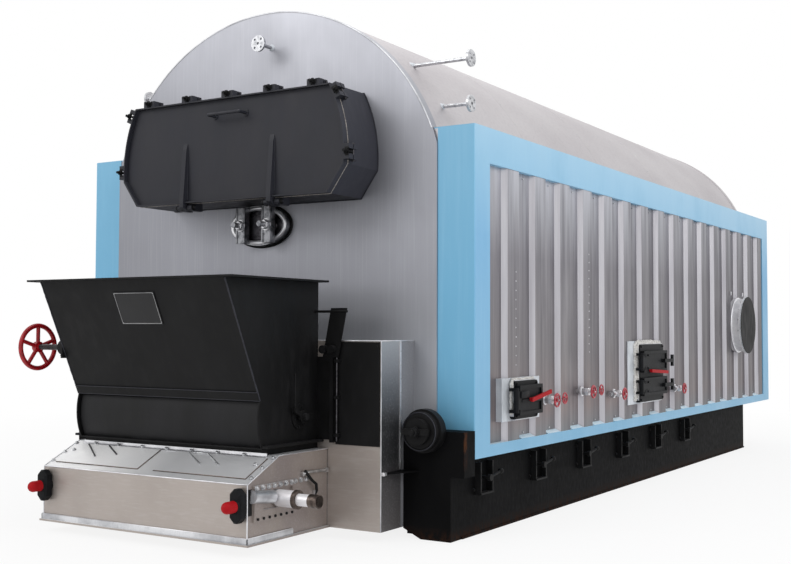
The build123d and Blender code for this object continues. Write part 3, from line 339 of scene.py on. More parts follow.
def silver_painted_plate(name):
    """Aluminium paint on welded plate, warm taupe, with painted light: near white on the deck as a painted
    reflection, painted shade on the deck's right part and on side faces, and the wall box's sides darker low
    down.

    The end of the roller's shaft, which stands out of the bearing's plate, is bright.
    """
    material, node, place, shader = new_material(name)
    x, y, z = node("SeparateXYZ", place).node.outputs
    outward = node("Math", x, operation="ABSOLUTE")
    sideways, _, upward = node("SeparateXYZ", node("NewGeometry", output="Normal")).node.outputs
    clouds = drawn_noise(place, (260, 260, 390), 4)
    brush = drawn_noise(place, (81, 9, 9), 3)
    cloudy = node("MapRange", clouds, 0.35, 0.7)
    # Painted shade: side faces take a darker copy of the front faces' colour.
    front = blend(cloudy, "#AAA19B", "#B2A9A3")
    side = blend(cloudy, "#8F8582", "#A0968F")
    # The wall box's sides: darker low down, lightest at the top.
    wall = by_height(node, z, (0.05, "#605D5D"), (0.34, "#474547"), (0.42, "#29292B"), (0.60, "#333437"),
                     (0.78, "#616266"), (1.03, "#A3A4A8"))
    strip = node("MapRange", y, (WALL_FACE + 190) * MM, (WALL_FACE + 196) * MM)
    wall = blend(strip, wall, "#85868B")
    # Painted reflection: the deck is near white, as if it mirrored the sky.
    deck = blend(cloudy, "#FCFCFD", "#FFFFFF")
    # Painted shade: the deck darkens towards its right part.
    deck = blend(node("MapRange", x, -0.3, 0.12, 0, 0.6), deck, "#8C8E93")
    on_side = node("MapRange", node("Math", sideways, operation="ABSOLUTE"), 0.3, 0.8)
    on_wall = node("Math", on_side, node("MapRange", y, WALL_FACE * MM - 0.01, WALL_FACE * MM),
                   operation="MULTIPLY")
    on_top = node("MapRange", upward, 0.3, 0.8)
    on_shaft = node("Math", node("MapRange", outward, *BEYOND_BEARING), node("MapRange", y, *BEARING_BACK),
                    operation="MULTIPLY")
    on_shaft = node("Math", on_shaft, node("MapRange", z, *BEARING_FOOT), operation="MULTIPLY")
    colour = blend(on_side, front, side)
    colour = blend(on_wall, colour, wall)
    colour = blend(on_top, colour, deck)
    colour = blend(on_shaft, colour, "#EDEBEE")
    colour = blend(node("MapRange", brush, 0.5, 0.75, 0, 0.12), colour, "#E2E4E6")
    painted = node("Math", on_top, on_wall, operation="MAXIMUM")
    join(shader, base_color=colour, metallic=node("MapRange", painted, 0, 1, 0.55, 0.2),
         roughness=node("MapRange", brush, 0.3, 0.7, 0.36, 0.5),
         normal=node("Bump", 0.4, 0.3 * MM, None, brush))
    return material


def gloss_red(name, base, black_from=None):
    """Gloss red on cast parts, worn to a darker red; its shaft, past a place along X, is black."""
    material, node, place, shader = new_material(name, specular=0.45)
    wear = node("TexNoise", place, blots(20), 4, 0.55)
    colour = blend(node("MapRange", wear, 0.45, 0.7), base, "#7E0F16")
    if black_from is not None:
        on_shaft = node("MapRange", node("SeparateXYZ", place, output="X"), black_from, black_from + 0.005)
        colour = blend(on_shaft, colour, "#141415")
    join(shader, base_color=colour, roughness=node("MapRange", wear, 0.3, 0.7, 0.26, 0.42),
         normal=node("Bump", 0.3, 0.2 * MM, None, wear))
    return material


def cast_iron(name, *red_limits):
    """Black-painted cast iron, rough from the mould, with grey grit specks.

    The lever or cap beyond all the limits is red. Each limit is an axis, a place on it in metres, and
    1 or -1 for what lies above or below it; X is counted from the middle to either side.
    """
    material, node, place, shader = new_material(name, specular=0.12)
    grit = node("TexNoise", place, blots(5), 4, 0.55)
    patches = node("TexNoise", place, blots(70), 4, 0.55)
    colour = blend(node("MapRange", patches, 0.4, 0.66), "#101113", "#18191C")
    colour = blend(node("MapRange", grit, 0.55, 0.8, 0, 0.25), colour, "#3A3C40")
    beyond = 1.0
    for axis, start, way in red_limits:
        value = node("SeparateXYZ", place, output=axis)
        if axis == "X":
            value = node("Math", value, operation="ABSOLUTE")
        past = node("MapRange", value, start, start + way * 0.5 * MM)
        beyond = node("Math", beyond, past, operation="MULTIPLY")
    if red_limits:
        colour = blend(beyond, colour, "#A8141C")
    join(shader, base_color=colour, roughness=node("MapRange", grit, 0.3, 0.7, 0.42, 0.6),
         normal=node("Bump", 0.45, 0.5 * MM, None, grit))
    return material


def fibre_rope(name, light, dark):
    """Ceramic-fibre rope pressed round a door: matt white, fluffy, greyed by soot in places."""
    material, node, place, shader = new_material(name, specular=0.1)
    tufts = node("TexNoise", place, blots(8), 5, 0.7)
    soot = node("TexNoise", place, blots(60), 3, 0.55)
    colour = blend(node("MapRange", tufts, 0.35, 0.65), dark, light)
    colour = blend(node("MapRange", soot, 0.52, 0.7, 0, 0.6), colour, dark)
    join(shader, base_color=colour, roughness=node("MapRange", tufts, 0.3, 0.7, 0.88, 1.0),
         normal=node("Bump", 0.8, 3 * MM, None, tufts))
    return material


# Where the red begins on the black castings, in metres
LEVER_FACE = 1.4665
INSPECTION_LEVER_START = -2.08
FIRE_LEVER_TOP = 0.822
CAP_DOME_START = (GRATE_FRONT - 54.5) * MM

FRONT_SHEET = brushed_front_sheet("satin_aluminium_front_plate")
DRUM_SHEET = drum_cladding_sheet("aluminium_drum_cladding")
TRIM = plain_aluminium("mill_aluminium_trim", "#DDDEE1", "#A9AAAE", 0.34)
SURROUND = plain_aluminium("weathered_aluminium_surround", "#E4E9EF", "#C4C9CF", 0.5, 0.25)
DUCT = plain_aluminium("bright_galvanised_duct", "#F2F2F4", "#D0D0D4", 0.5)
EDGE = plain_aluminium("worn_bright_plate_edge", "#F0F0F3", "#C9C9CD", 0.3)
LABEL_LINE = plain_aluminium("etched_label_border", "#A9A9AA", "#7C7C7E", 0.4)
CORRUGATED = trapezoidal_sheet("rolled_trapezoidal_aluminium")
BLUE = sky_enamel("sky_blue_enamel")
BLACK = rolled_on_paint("satin_black_paint", "#0D0D0E", "#141415", "#2C2B2D", 0.55, 0.16)
GATE_BLACK = rolled_on_paint("worn_gate_black_paint", "#171718", "#1D1D1F", "#333235", 0.5, 0.2)
# The smoke box's sides take a lighter colour as painted light.
SMOKEBOX = rolled_on_paint("heatproof_grey_black_paint", "#22232A", "#27272D", "#3F4049", 0.5, 0.3,
                           side="#32333B")
LABEL = rolled_on_paint("black_label_plate", "#141416", "#1A1A1C", "#2C2C2F", 0.4, 0.3)
BASE_BLACK = rusting_black("rusting_black_base_paint")
WHEEL_RED = gloss_red("gloss_red_hand_wheel", "#A9121C", -0.88)
VALVE_RED = gloss_red("faded_red_valve_wheel", "#B8404C")
STEEL = machined_steel("machined_bright_steel", "#D0D1D4", "#9FA0A4", 0.22)
YOKE_STEEL = machined_steel("dull_steel_yokes", "#9A9B9F", "#606165", 0.34)
ZINC = machined_steel("zinc_plated_fasteners", "#D3D4D6", "#9B9C9F", 0.3)
DARK_STEEL = machined_steel("blued_dark_steel", "#5B595D", "#39383B", 0.3)
BROWN_STEEL = machined_steel("oily_brown_steel", "#6A5F59", "#3E3734", 0.36)
BOX = silver_painted_plate("aluminium_painted_plate")
CAST = cast_iron("black_cast_iron")
INSPECTION_CAST = cast_iron("cast_iron_with_red_lever", ("X", LEVER_FACE, 1),
                            ("Y", INSPECTION_LEVER_START, 1))
FIRE_CAST = cast_iron("cast_iron_with_low_red_lever", ("X", LEVER_FACE, 1), ("Z", FIRE_LEVER_TOP, -1))
CAP_CAST = cast_iron("cast_iron_with_red_cap", ("Y", CAP_DOME_START, -1))
ROPE = fibre_rope("white_fibre_rope", "#F2F1EE", "#B5B2AE")
GASKET = fibre_rope("grey_gasket_rope", "#B9B2AC", "#6A6663")

BY_SLOT = {
    "aluminium_sheet": TRIM, "corrugated_sheet": CORRUGATED, "blue_paint": BLUE,
    "black_paint": BLACK, "smokebox_paint": SMOKEBOX, "red_paint": VALVE_RED,
    "bright_steel": STEEL, "galvanised_box": BOX, "cast_black": CAST, "blank_label": LABEL,
}
BY_NODE = {
    "front_plate": FRONT_SHEET, "drum_cladding": DRUM_SHEET, "rear_plate": DRUM_SHEET,
    "casing_core": DRUM_SHEET, "inspection_surround": SURROUND, "fire_surround": SURROUND,
    "door_surrounds_left": SURROUND, "duct_stub": DUCT, "hopper_handwheel": WHEEL_RED,
    "inspection_door": INSPECTION_CAST, "fire_door_upper": FIRE_CAST, "tension_caps": CAP_CAST,
    "side_doors_left": INSPECTION_CAST, "fan_gate": GATE_BLACK,
    "base_side_right": BASE_BLACK, "base_side_left": BASE_BLACK, "base_front_boxes": BASE_BLACK,
    "base_rear_beam": BASE_BLACK, "stoker_chassis": BASE_BLACK, "manhole": YOKE_STEEL,
}
for part in frame["record"]["subparts"]:
    data = nodes[part["node"]].data
    data.materials.clear()
    data.materials.append(BY_NODE.get(part["node"], BY_SLOT[part["material_slot"]]))


# Small pieces: solids in one mesh, tubes along lines

def at(x, y, z):
    """A place given in millimetres."""
    return Vector((x, y, z)) * MM


def standing(direction, turn=0.0):
    """The rotation that stands a shape made along Z on a direction."""
    upright = Vector(direction).to_track_quat("Z", "Y").to_matrix().to_4x4()
    return upright @ Matrix.Rotation(turn, 4, "Z")


def add_prism(solid, place, direction, radius, length, sides=16, top=None, turn=0.0):
    """A round, six-sided or tapering bar that stands on a place, sizes in millimetres."""
    raised = Matrix.Translation((0, 0, length * MM / 2))
    matrix = Matrix.Translation(place) @ standing(direction, turn) @ raised
    bmesh.ops.create_cone(solid, cap_ends=True, segments=sides, radius1=radius * MM,
                          radius2=(radius if top is None else top) * MM, depth=length * MM, matrix=matrix)


def add_bolt(solid, place, direction, size, stud=0.0, washer=True):
    """Washer, hexagon with a chamfered top and, for a nut, its stud's end; size is the thread."""
    step = Vector(direction).normalized() * MM
    turn = chance.uniform(0, math.pi / 3)
    foot = place
    if washer:
        add_prism(solid, foot, direction, size * 1.05, size * 0.16, 20)
        foot = foot + step * size * 0.16
    add_prism(solid, foot, direction, size * 0.87, size * 0.6, 6, turn=turn)
    add_prism(solid, foot + step * size * 0.6, direction, size * 0.87, size * 0.1, 6, size * 0.76, turn)
    if stud:
        add_prism(solid, foot, direction, size * 0.5, size * 0.7 + stud, 12)


def add_rivet(solid, place, direction, radius):
    """A low domed head in two steps."""
    step = Vector(direction).normalized() * MM
    add_prism(solid, place, direction, radius, radius * 0.3, 12, radius * 0.85)
    add_prism(solid, place + step * radius * 0.3, direction, radius * 0.85, radius * 0.25, 12, radius * 0.4)


def add_block(solid, low, high, edge=2.0, turn=None):
    """A plate or bar with rounded edges between two corners in millimetres, turned about its middle."""
    low, high = Vector(low) * MM, Vector(high) * MM
    stretched = Matrix.Diagonal((*(high - low), 1.0))
    matrix = Matrix.Translation((low + high) / 2) @ (turn or Matrix()) @ stretched
    made = bmesh.ops.create_cube(solid, size=1.0, matrix=matrix)
    edges = list(dict.fromkeys(e for v in made["verts"] for e in v.link_edges))
    bmesh.ops.bevel(solid, geom=edges, offset=edge * MM, segments=2, affect="EDGES", profile=0.6)


def place_piece(piece, material, body):
    piece.data.materials.append(material)
    bpy.context.scene.collection.objects.link(piece)
    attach(piece, body)


def solid_piece(name, solid, material, body="boiler"):
    mesh = bpy.data.meshes.new(name)
    solid.to_mesh(mesh)
    solid.free()
    mesh.shade_smooth()
    mesh.set_sharp_from_angle(angle=math.radians(32))
    place_piece(bpy.data.objects.new(name, mesh), material, body)


def tube_piece(name, runs, radius, material, body="boiler", closed=False, ripple=0.0):
    """Round bars along lines of places; ripple varies the thickness from place to place."""
    curve = bpy.data.curves.new(name, "CURVE")
    curve.dimensions = "3D"
    curve.bevel_depth = radius * MM
    curve.bevel_resolution = 2
    curve.use_fill_caps = True
    for run in runs:
        spline = curve.splines.new("POLY")
        spline.points.add(len(run) - 1)
        for point, place in zip(spline.points, run):
            point.co = (*place, 1.0)
            point.radius = 1 + ripple * chance.uniform(-1, 1)
        spline.use_cyclic_u = closed
    place_piece(bpy.data.objects.new(name, curve), material, body)


def stepped(run, step, wobble=0.0):
    """The same line with a place every step millimetres, each a little off it by wobble."""
    places = []
    for start, stop in zip(run, run[1:]):
        count = max(1, round((stop - start).length / (step * MM)))
        places += [start.lerp(stop, number / count) for number in range(count)]
    places.append(run[-1])
    return [p + Vector([chance.uniform(-1, 1) * wobble * MM for _ in range(3)]) for p in places]


def arc(centre, radius, start, stop, count, plane="xz", flat=1.0):
    """Places on an arc in degrees; flat squeezes its second axis into an oval."""
    places = []
    for number in range(count + 1):
        turn = math.radians(start + (stop - start) * number / count)
        first, second = radius * math.cos(turn), radius * flat * math.sin(turn)
        offset = {"xz": (first, 0, second), "yz": (0, first, second)}[plane]
        places.append(centre + Vector(offset) * MM)
    return places


SIDES = (1, -1)


# Front plate and drum

SHOULDER = math.degrees(math.asin((CASING_TOP - DRUM_HEIGHT) / DRUM_RADIUS))
DRUM_SKIN = DRUM_RADIUS - 6
DRUM_JOINTS = [CASING_FRONT + back for back in (1250, 2500, 3750, 5000)]
RIVET = 5


def arc_spots(radius, y, margin, count):
    """Places over the drum's arch, each with the direction that points outwards there."""
    spots = []
    for number in range(count):
        turn = math.radians(SHOULDER + margin + (180 - 2 * (SHOULDER + margin)) * number / (count - 1))
        outward = Vector((math.cos(turn), 0, math.sin(turn)))
        spots.append((at(0, y, DRUM_HEIGHT) + outward * radius * MM, outward))
    return spots


def arch(radius, y):
    return arc(at(0, y, DRUM_HEIGHT), radius, SHOULDER, 180 - SHOULDER, 96)


def dress_drum():
    trim, flange_rivet = 5, 6
    line = arch(DRUM_RADIUS - trim, PLATE_FACE + 2)
    tube_piece("front_plate_arch_trim", [line], trim, TRIM)
    rivets = bmesh.new()
    for place, outward in arc_spots(DRUM_RADIUS - 4, CASING_FRONT + 24, 3, 24):
        add_rivet(rivets, place, outward, flange_rivet)
    solid_piece("front_flange_rivets", rivets, ZINC)
    laps = [arch(DRUM_SKIN - 0.5, joint) for joint in DRUM_JOINTS]
    tube_piece("drum_sheet_laps", laps, 1.6, DRUM_SHEET)
    screws = bmesh.new()
    for joint in DRUM_JOINTS:
        for place, outward in arc_spots(DRUM_SKIN, joint + 12, 4, 17):
            add_rivet(screws, place, outward, RIVET)
    solid_piece("drum_lap_screws", screws, ZINC)
    foot = math.sqrt(DRUM_SKIN ** 2 - (CASING_TOP - DRUM_HEIGHT) ** 2) + 2
    ends = (CASING_FRONT + 8, CASING_BACK - 8)
    seals = [[at(side * foot, y, CASING_TOP + 1) for y in ends] for side in SIDES]
    tube_piece("drum_foot_seal", seals, 4, TRIM)


# Rear plate

REAR_FACE = face_of("rear_plate", 1, 1)
REAR_SEAM_X = 560
REAR_EDGE_X = 1170
REAR_FOOT = 430
REAR_SEAM_HEIGHT = 1300
REAR_SEAM_TOP = 2600


def dress_rear():
    seam = 1.5
    seams = [[at(x, REAR_FACE - seam, z) for z in (REAR_FOOT, REAR_SEAM_TOP)]
             for x in (-REAR_SEAM_X, REAR_SEAM_X)]
    seams.append([at(x, REAR_FACE - seam, REAR_SEAM_HEIGHT) for x in (-REAR_EDGE_X, REAR_EDGE_X)])
    tube_piece("rear_sheet_seams", seams, seam, TRIM)
    rivets, rivet_foot, low, back = bmesh.new(), REAR_FACE - 2.9, REAR_FOOT + 30, (0, 1, 0)
    for side in SIDES:
        for number in range(15):
            for x, pitch in ((REAR_SEAM_X + 15, 150), (REAR_EDGE_X - 20, 116)):
                add_rivet(rivets, at(side * x, rivet_foot, low + pitch * number), back, RIVET)
    for number in range(18):
        x = 60 - REAR_EDGE_X + 130 * number
        add_rivet(rivets, at(x, rivet_foot, REAR_SEAM_HEIGHT + 16), back, RIVET)
    solid_piece("rear_sheet_rivets", rivets, ZINC)
    tube_piece("rear_arch_trim", [arch(DRUM_RADIUS - 8, REAR_FACE - 4)], 4, TRIM)


# Smoke box

CORNER_WIDTH = 108
CORNER_HEIGHT = 150
DOOR_FACE = SHELL_FRONT - 19
DOOR_LIP_EDGE = SHELL_FRONT - 43
HINGE_X = (-327, 308)
STRAP_HALF = 15
STRAP_TOP = 2150
GRAB_BAR_HEIGHT = 2304
GRAB_BAR_X = 5
GRAB_BAR_HALF = 112.5
LUG_STEP = 0.374 * SMOKEBOX_RADIUS
LUG_TURNS = (24, 0, 180, 156)
LUG_REACH = 20


def smokebox_line(inset, y):
    """The outline of the smoke box, a disc cut flat at top and bottom with cut bottom corners."""
    radius = SMOKEBOX_RADIUS - inset
    top = SMOKEBOX_TOP - inset - SMOKEBOX_HEIGHT
    bottom = SMOKEBOX_BOTTOM + inset
    step = bottom + CORNER_HEIGHT
    wide = math.sqrt(radius ** 2 - (SMOKEBOX_HEIGHT - step) ** 2)
    start = math.degrees(math.asin((step - SMOKEBOX_HEIGHT) / radius))
    stop = math.degrees(math.asin(top / radius))
    centre = at(0, y, SMOKEBOX_HEIGHT)
    foot = [at(side * (wide - CORNER_WIDTH), y, bottom) for side in (-1, 1)]
    return arc(centre, radius, start, stop, 14) + arc(centre, radius, 180 - stop, 180 - start, 14) + foot


def lug_spots():
    """The middle of each pair of lugs on the smoke box's edge, with its outward angle."""
    spots = [(at(number * LUG_STEP, 0, SMOKEBOX_TOP), math.pi / 2) for number in range(-2, 3)]
    centre = at(0, 0, SMOKEBOX_HEIGHT)
    for degrees in LUG_TURNS:
        spots.append((arc(centre, SMOKEBOX_RADIUS, degrees, degrees, 1)[0], math.radians(degrees)))
    return spots


def dress_smokebox():
    tube_piece("smokebox_gasket", [smokebox_line(1, SHELL_FRONT - 2.5)], 3.6, GASKET,
               closed=True, ripple=0.15)
    pins, bolts = bmesh.new(), bmesh.new()
    for middle, angle in lug_spots():
        outward = Vector((math.cos(angle), 0, math.sin(angle)))
        along = Vector((-math.sin(angle), 0, math.cos(angle)))
        hole = middle + outward * LUG_REACH * MM
        pin = hole + at(0, SHELL_FRONT + 16, 0)
        for way in SIDES:
            add_prism(pins, pin, along * way, 6, 45, 12)
            add_prism(pins, pin + along * way * 44 * MM, along * way, 9, 5, 12)
        shank = hole + at(0, SHELL_FRONT - 45, 0)
        add_prism(bolts, shank, (0, 1, 0), 7, 52, 12)
        corner = Vector((23, 4, 11))
        add_block(bolts, shank / MM - corner, shank / MM + corner - Vector((0, 4, 0)), 2,
                  Matrix.Rotation(math.pi / 2 - angle, 4, "Y"))
        add_bolt(bolts, shank + at(0, -4, 0), (0, -1, 0), 16, stud=16)
    solid_piece("smokebox_lug_pins", pins, DARK_STEEL)
    solid_piece("smokebox_swing_bolts", bolts, BLACK, "smokebox_door")
    strap_ends = (SMOKEBOX_BOTTOM + 20, STRAP_TOP)
    welds = [stepped([at(x + side * STRAP_HALF, DOOR_FACE - 1, z) for z in strap_ends], 12)
             for x in HINGE_X for side in SIDES]
    tube_piece("smokebox_strap_welds", welds, 3, SMOKEBOX, "smokebox_door", ripple=0.25)
    feet, nuts = bmesh.new(), bmesh.new()
    for side in SIDES:
        foot = at(GRAB_BAR_X + side * GRAB_BAR_HALF, DOOR_FACE + 1, GRAB_BAR_HEIGHT)
        add_prism(feet, foot, (0, -1, 0), 20, 6, 20)
        for x in HINGE_X:
            add_bolt(nuts, at(x + side * 58, SHELL_FRONT - 12, SMOKEBOX_BOTTOM - 24), (side, 0, 0), 16)
    solid_piece("grab_bar_feet", feet, SMOKEBOX, "smokebox_door")
    solid_piece("smokebox_hinge_nuts", nuts, BLACK)
    foot_weld = stepped(smokebox_line(-2, PLATE_FACE - 2), 26)
    tube_piece("smokebox_shell_foot_weld", [foot_weld], 4, SMOKEBOX,
               closed=True, ripple=0.2)
    tube_piece("smokebox_door_rim", [smokebox_line(3, DOOR_LIP_EDGE)], 2.2, SMOKEBOX,
               "smokebox_door", closed=True)


# Drum manhole and nozzles

MANHOLE_HEIGHT = 1694
MANHOLE_GASKET = (215, 124)
MANHOLE_LIP = (194, 103)
MANHOLE_COVER_HALF = 178
YOKE_X = 95
YOKE_HALF = 104
YOKE_FACE = PLATE_FACE - 90
NOZZLE_SETBACK = 255
# Each side nozzle's side, its angle round the drum in degrees and its flange's place along X
SIDE_NOZZLES = ((1, 44.8, 1246), (1, 29.85, 1248), (-1, 46.6, 1186))
FRONT_NOZZLE = (54, 2745)


def oval(half_axes, y):
    """A nearly closed oval round the manhole's centre."""
    wide, high = half_axes
    return arc(at(0, y, MANHOLE_HEIGHT), wide, 0, 354, 59, flat=high / wide)


def dress_manhole():
    for name, half_axes, ahead, radius, material in (("manhole_gasket", MANHOLE_GASKET, 3, 6, BLACK),
                                                     ("manhole_rolled_lip", MANHOLE_LIP, 37, 14, EDGE)):
        line = oval(half_axes, PLATE_FACE - ahead)
        tube_piece(name, [line], radius, material, closed=True)
    cover = bmesh.new()
    for step, share in ((0, 1.0), (4, 0.9), (7, 0.7)):
        radius = MANHOLE_COVER_HALF * share
        place = Matrix.Translation(at(0, PLATE_FACE - 20 - step, MANHOLE_HEIGHT))
        matrix = place @ Matrix.Diagonal((1, 1, 0.5, 1)) @ standing((0, -1, 0))
        bmesh.ops.create_cone(cover, cap_ends=True, segments=48, radius1=radius * MM,
                              radius2=(radius - 6 * share) * MM, depth=5 * MM, matrix=matrix)
    solid_piece("manhole_cover_plate", cover, DARK_STEEL)
    nuts, bars = bmesh.new(), bmesh.new()
    for side in SIDES:
        x = side * YOKE_X
        add_bolt(nuts, at(x, YOKE_FACE, MANHOLE_HEIGHT), (0, -1, 0), 33, stud=40)
        for edge in SIDES:
            low, high = sorted((x + edge * 22, x + edge * 33))
            add_block(bars, (low, YOKE_FACE - 6, MANHOLE_HEIGHT - YOKE_HALF),
                      (high, YOKE_FACE + 36, MANHOLE_HEIGHT + YOKE_HALF), 3)
    solid_piece("manhole_yoke_nuts", nuts, EDGE)
    solid_piece("manhole_yoke_cheeks", bars, YOKE_STEEL)


def dress_nozzles():
    collars, necks = bmesh.new(), bmesh.new()
    y = CASING_FRONT + NOZZLE_SETBACK
    for side, degrees, flange in SIDE_NOZZLES:
        turn = math.radians(degrees)
        x, z = DRUM_SKIN * math.cos(turn), DRUM_HEIGHT + DRUM_SKIN * math.sin(turn)
        add_prism(collars, at(side * (x - 26), y, z), (side, 0, 0), 24, 34, 24, 15)
        add_prism(necks, at(side * (flange - 15), y, z), (-side, 0, 0), 17, 14, 20, 12)
    x, z = FRONT_NOZZLE
    add_prism(collars, at(x, PLATE_FACE + 1, z), (0, -1, 0), 22, 12, 24, 14)
    add_prism(necks, at(x, PLATE_FACE - 115, z), (0, 1, 0), 17, 14, 20, 12)
    solid_piece("nozzle_foot_collars", collars, SURROUND)
    solid_piece("nozzle_flange_necks", necks, STEEL)


# Hopper

HOPPER_HALF = 638
HOPPER_MOUTH = CASING_FRONT - 1098
RIM_HEIGHT = 1338
RIM_HALF = 702
RIM_REACH = 30
LIP_HEIGHT = 735
LIP_STRIP = 42
HOPPER_LEAN = 276 / (RIM_HEIGHT - LIP_HEIGHT)
LABEL_X = 14
LABEL_HEIGHT = 1194
LABEL_LINE_HALF = (127, 76)
LABEL_PIN_HALF = (133, 82)
GUIDE_ROD_X = 776
GATE_BEARING = (CASING_FRONT - 500, 640)
GATE_BEARING_RADIUS = 66
GATE_BOLT_CIRCLE = 52
WHEEL_HEIGHT = 987
WHEEL_BEHIND_PLATE = 52
WHEEL_REACH = 262


def hopper_front(x, height, proud=0.0):
    """A place on the hopper's leaning front plate."""
    return at(x, HOPPER_MOUTH + (RIM_HEIGHT - height) * HOPPER_LEAN - proud, height)


def dress_hopper_plates():
    heights = (RIM_HEIGHT - 2, LIP_HEIGHT)
    corners = [stepped([hopper_front(side * HOPPER_HALF, height) for height in heights], 14)
               for side in SIDES]
    tube_piece("hopper_corner_welds", corners, 3.5, SMOKEBOX, ripple=0.25)
    strip = [[hopper_front(side * HOPPER_HALF, height, 5) for side in SIDES]
             for height in (LIP_HEIGHT, LIP_HEIGHT + LIP_STRIP)]
    tube_piece("hopper_strip_edges", strip, 2.4, SMOKEBOX)
    rim = face_of("hopper", 1, 2) - 5
    front = HOPPER_MOUTH - RIM_REACH
    corners = ((-RIM_HALF, WALL_FACE), (-RIM_HALF, front), (RIM_HALF, front), (RIM_HALF, WALL_FACE))
    tube_piece("hopper_rim_edge", [[at(x, y, rim) for x, y in corners]], 4.5, SMOKEBOX)


def dress_label():
    tilt = Matrix.Rotation(math.atan(HOPPER_LEAN), 4, "X")
    centre = hopper_front(LABEL_X, LABEL_HEIGHT, 4.9)
    line = []
    wide, high = LABEL_LINE_HALF
    for x, z, first in ((wide, high, 0), (-wide, high, 90), (-wide, -high, 180), (wide, -high, 270)):
        line += arc(at(x, 0, z), 8, first, first + 90, 4)
    border = [centre + tilt @ place for place in line]
    tube_piece("label_border_line", [border], 1.7, LABEL_LINE, closed=True)
    pins = bmesh.new()
    wide, high = LABEL_PIN_HALF
    for x in (-wide, wide):
        for z in (-high, high):
            add_rivet(pins, centre + tilt @ at(x, 0, z), tilt @ Vector((0, -1, 0)), 3)
    solid_piece("label_pins", pins, ZINC)


def dress_gates():
    rod = [at(GUIDE_ROD_X, WALL_FACE - 24, z) for z in (508, 942)]
    tube_piece("coal_gate_guide_rod", [rod], 5, DARK_STEEL)
    clips = bmesh.new()
    for z in (540, 735, 925):
        add_block(clips, (GUIDE_ROD_X - 14, WALL_FACE - 32, z - 9),
                  (GUIDE_ROD_X + 14, WALL_FACE - 5, z + 9), 2)
    solid_piece("guide_rod_clips", clips, BLACK)
    flanges = bmesh.new()
    y, z = GATE_BEARING
    for side in SIDES:
        add_prism(flanges, at(side * HOPPER_HALF, y, z), (side, 0, 0), GATE_BEARING_RADIUS, 7, 32)
        for number in range(6):
            turn = math.radians(15 + 60 * number)
            add_bolt(flanges, at(side * (HOPPER_HALF + 6), y + GATE_BOLT_CIRCLE * math.cos(turn),
                                 z + GATE_BOLT_CIRCLE * math.sin(turn)), (side, 0, 0), 8)
    solid_piece("gate_bearing_flanges", flanges, BLACK)


def dress_hand_wheel():
    base, nut = bmesh.new(), bmesh.new()
    plate, half, bolt_half = 14, 58, 44
    y = HOPPER_MOUTH + (RIM_HEIGHT - WHEEL_HEIGHT) * HOPPER_LEAN + WHEEL_BEHIND_PLATE
    add_block(base, (-HOPPER_HALF - plate, y - half, WHEEL_HEIGHT - half),
              (-HOPPER_HALF, y + half, WHEEL_HEIGHT + half), 3)
    for dy in (-bolt_half, bolt_half):
        for dz in (-bolt_half, bolt_half):
            add_bolt(base, at(-HOPPER_HALF - plate, y + dy, WHEEL_HEIGHT + dz), (-1, 0, 0), 10)
    solid_piece("hand_wheel_bearing_base", base, BLACK)
    add_bolt(nut, at(-HOPPER_HALF - WHEEL_REACH - 14, y, WHEEL_HEIGHT), (-1, 0, 0), 20, stud=4)
    solid_piece("hand_wheel_nut", nut, DARK_STEEL, "hopper_handwheel")


# Grate front box

DECK_SLOPE = (GRATE_DECK - GRATE_FRONT_TOP) / (GRATE_BEND - GRATE_FRONT)
SKIRT = -3313.9
BEARING_FACE = GRATE_HALF + 12
BEARING_ENDS = (-3503.5, -3188.5)
BOX_SIDE_END = -3190
SHAFT_PLACE = (-3318.5, 262)
LID_INNER = 55
LID_OUTER = 659
LID_ENDS = (-3336, -3503.5)
LEFT_STAYS = (((-582, -3342), (-430, -3440)), ((-424, -3342), (-300, -3410)))
RIGHT_STAY = ((307, -3432), (150, -3342), (280, -3342), (420, -3424))


def deck(x, y, above=0.0):
    """A place on the sloping deck, above it by so many millimetres."""
    height = min(GRATE_DECK, GRATE_FRONT_TOP + (y - GRATE_FRONT) * DECK_SLOPE)
    return at(x, y, height + above)


def dress_grate_deck():
    up_slope = Vector((0, -DECK_SLOPE, 1)).normalized()
    lean = Matrix.Rotation(math.atan(DECK_SLOPE), 4, "X")
    half, seat_half = GRATE_HALF, HOPPER_HALF + 4
    edges = [[deck(side * half, GRATE_FRONT) for side in SIDES]]
    for side in SIDES:
        edges.append([deck(side * half, y) for y in (GRATE_FRONT, GRATE_BEND, WALL_FACE - 3)])
        edges.append([deck(side * half, GRATE_FRONT), at(side * half, GRATE_FRONT, GRATE_FOOT + 12)])
    tube_piece("grate_box_bright_edges", edges, 3.6, EDGE)
    seat = bmesh.new()
    middle = deck(0, SKIRT - 10, 2) / MM
    add_block(seat, (-seat_half, middle.y - 9.5, middle.z - 2),
              (seat_half, middle.y + 9.5, middle.z + 2), 1, lean)
    add_block(seat, (-seat_half, SKIRT - 5, middle.z), (seat_half, SKIRT - 0.5, middle.z + 18), 1.5)
    solid_piece("hopper_seat_angle", seat, EDGE)
    bolts = bmesh.new()
    for number in range(7):
        add_bolt(bolts, deck(-547 + 175 * number, SKIRT - 12, 4), up_slope, 11, stud=3)
    for side in SIDES:
        for y in (-3495, -3412, -3328):
            add_bolt(bolts, deck(side * (half - 14), y), up_slope, 11, stud=3)
        add_bolt(bolts, deck(side * 636, -3398, 6), up_slope, 11, stud=3)
    solid_piece("grate_deck_bolts", bolts, ZINC)
    for name, runs, material in (("left_lid_stays", LEFT_STAYS, DARK_STEEL),
                                 ("right_lid_stay", [RIGHT_STAY], ZINC)):
        tube_piece(name, [[deck(x, y, 9) for x, y in run] for run in runs], 4.5, material)
    back, front = LID_ENDS
    outline = ((LID_INNER, back), (LID_INNER, front), (LID_OUTER, front), (LID_OUTER, back))
    joints = [[deck(side * x, y, 2) for x, y in outline] for side in SIDES]
    tube_piece("grate_lid_joints", joints, 2.6, BROWN_STEEL)


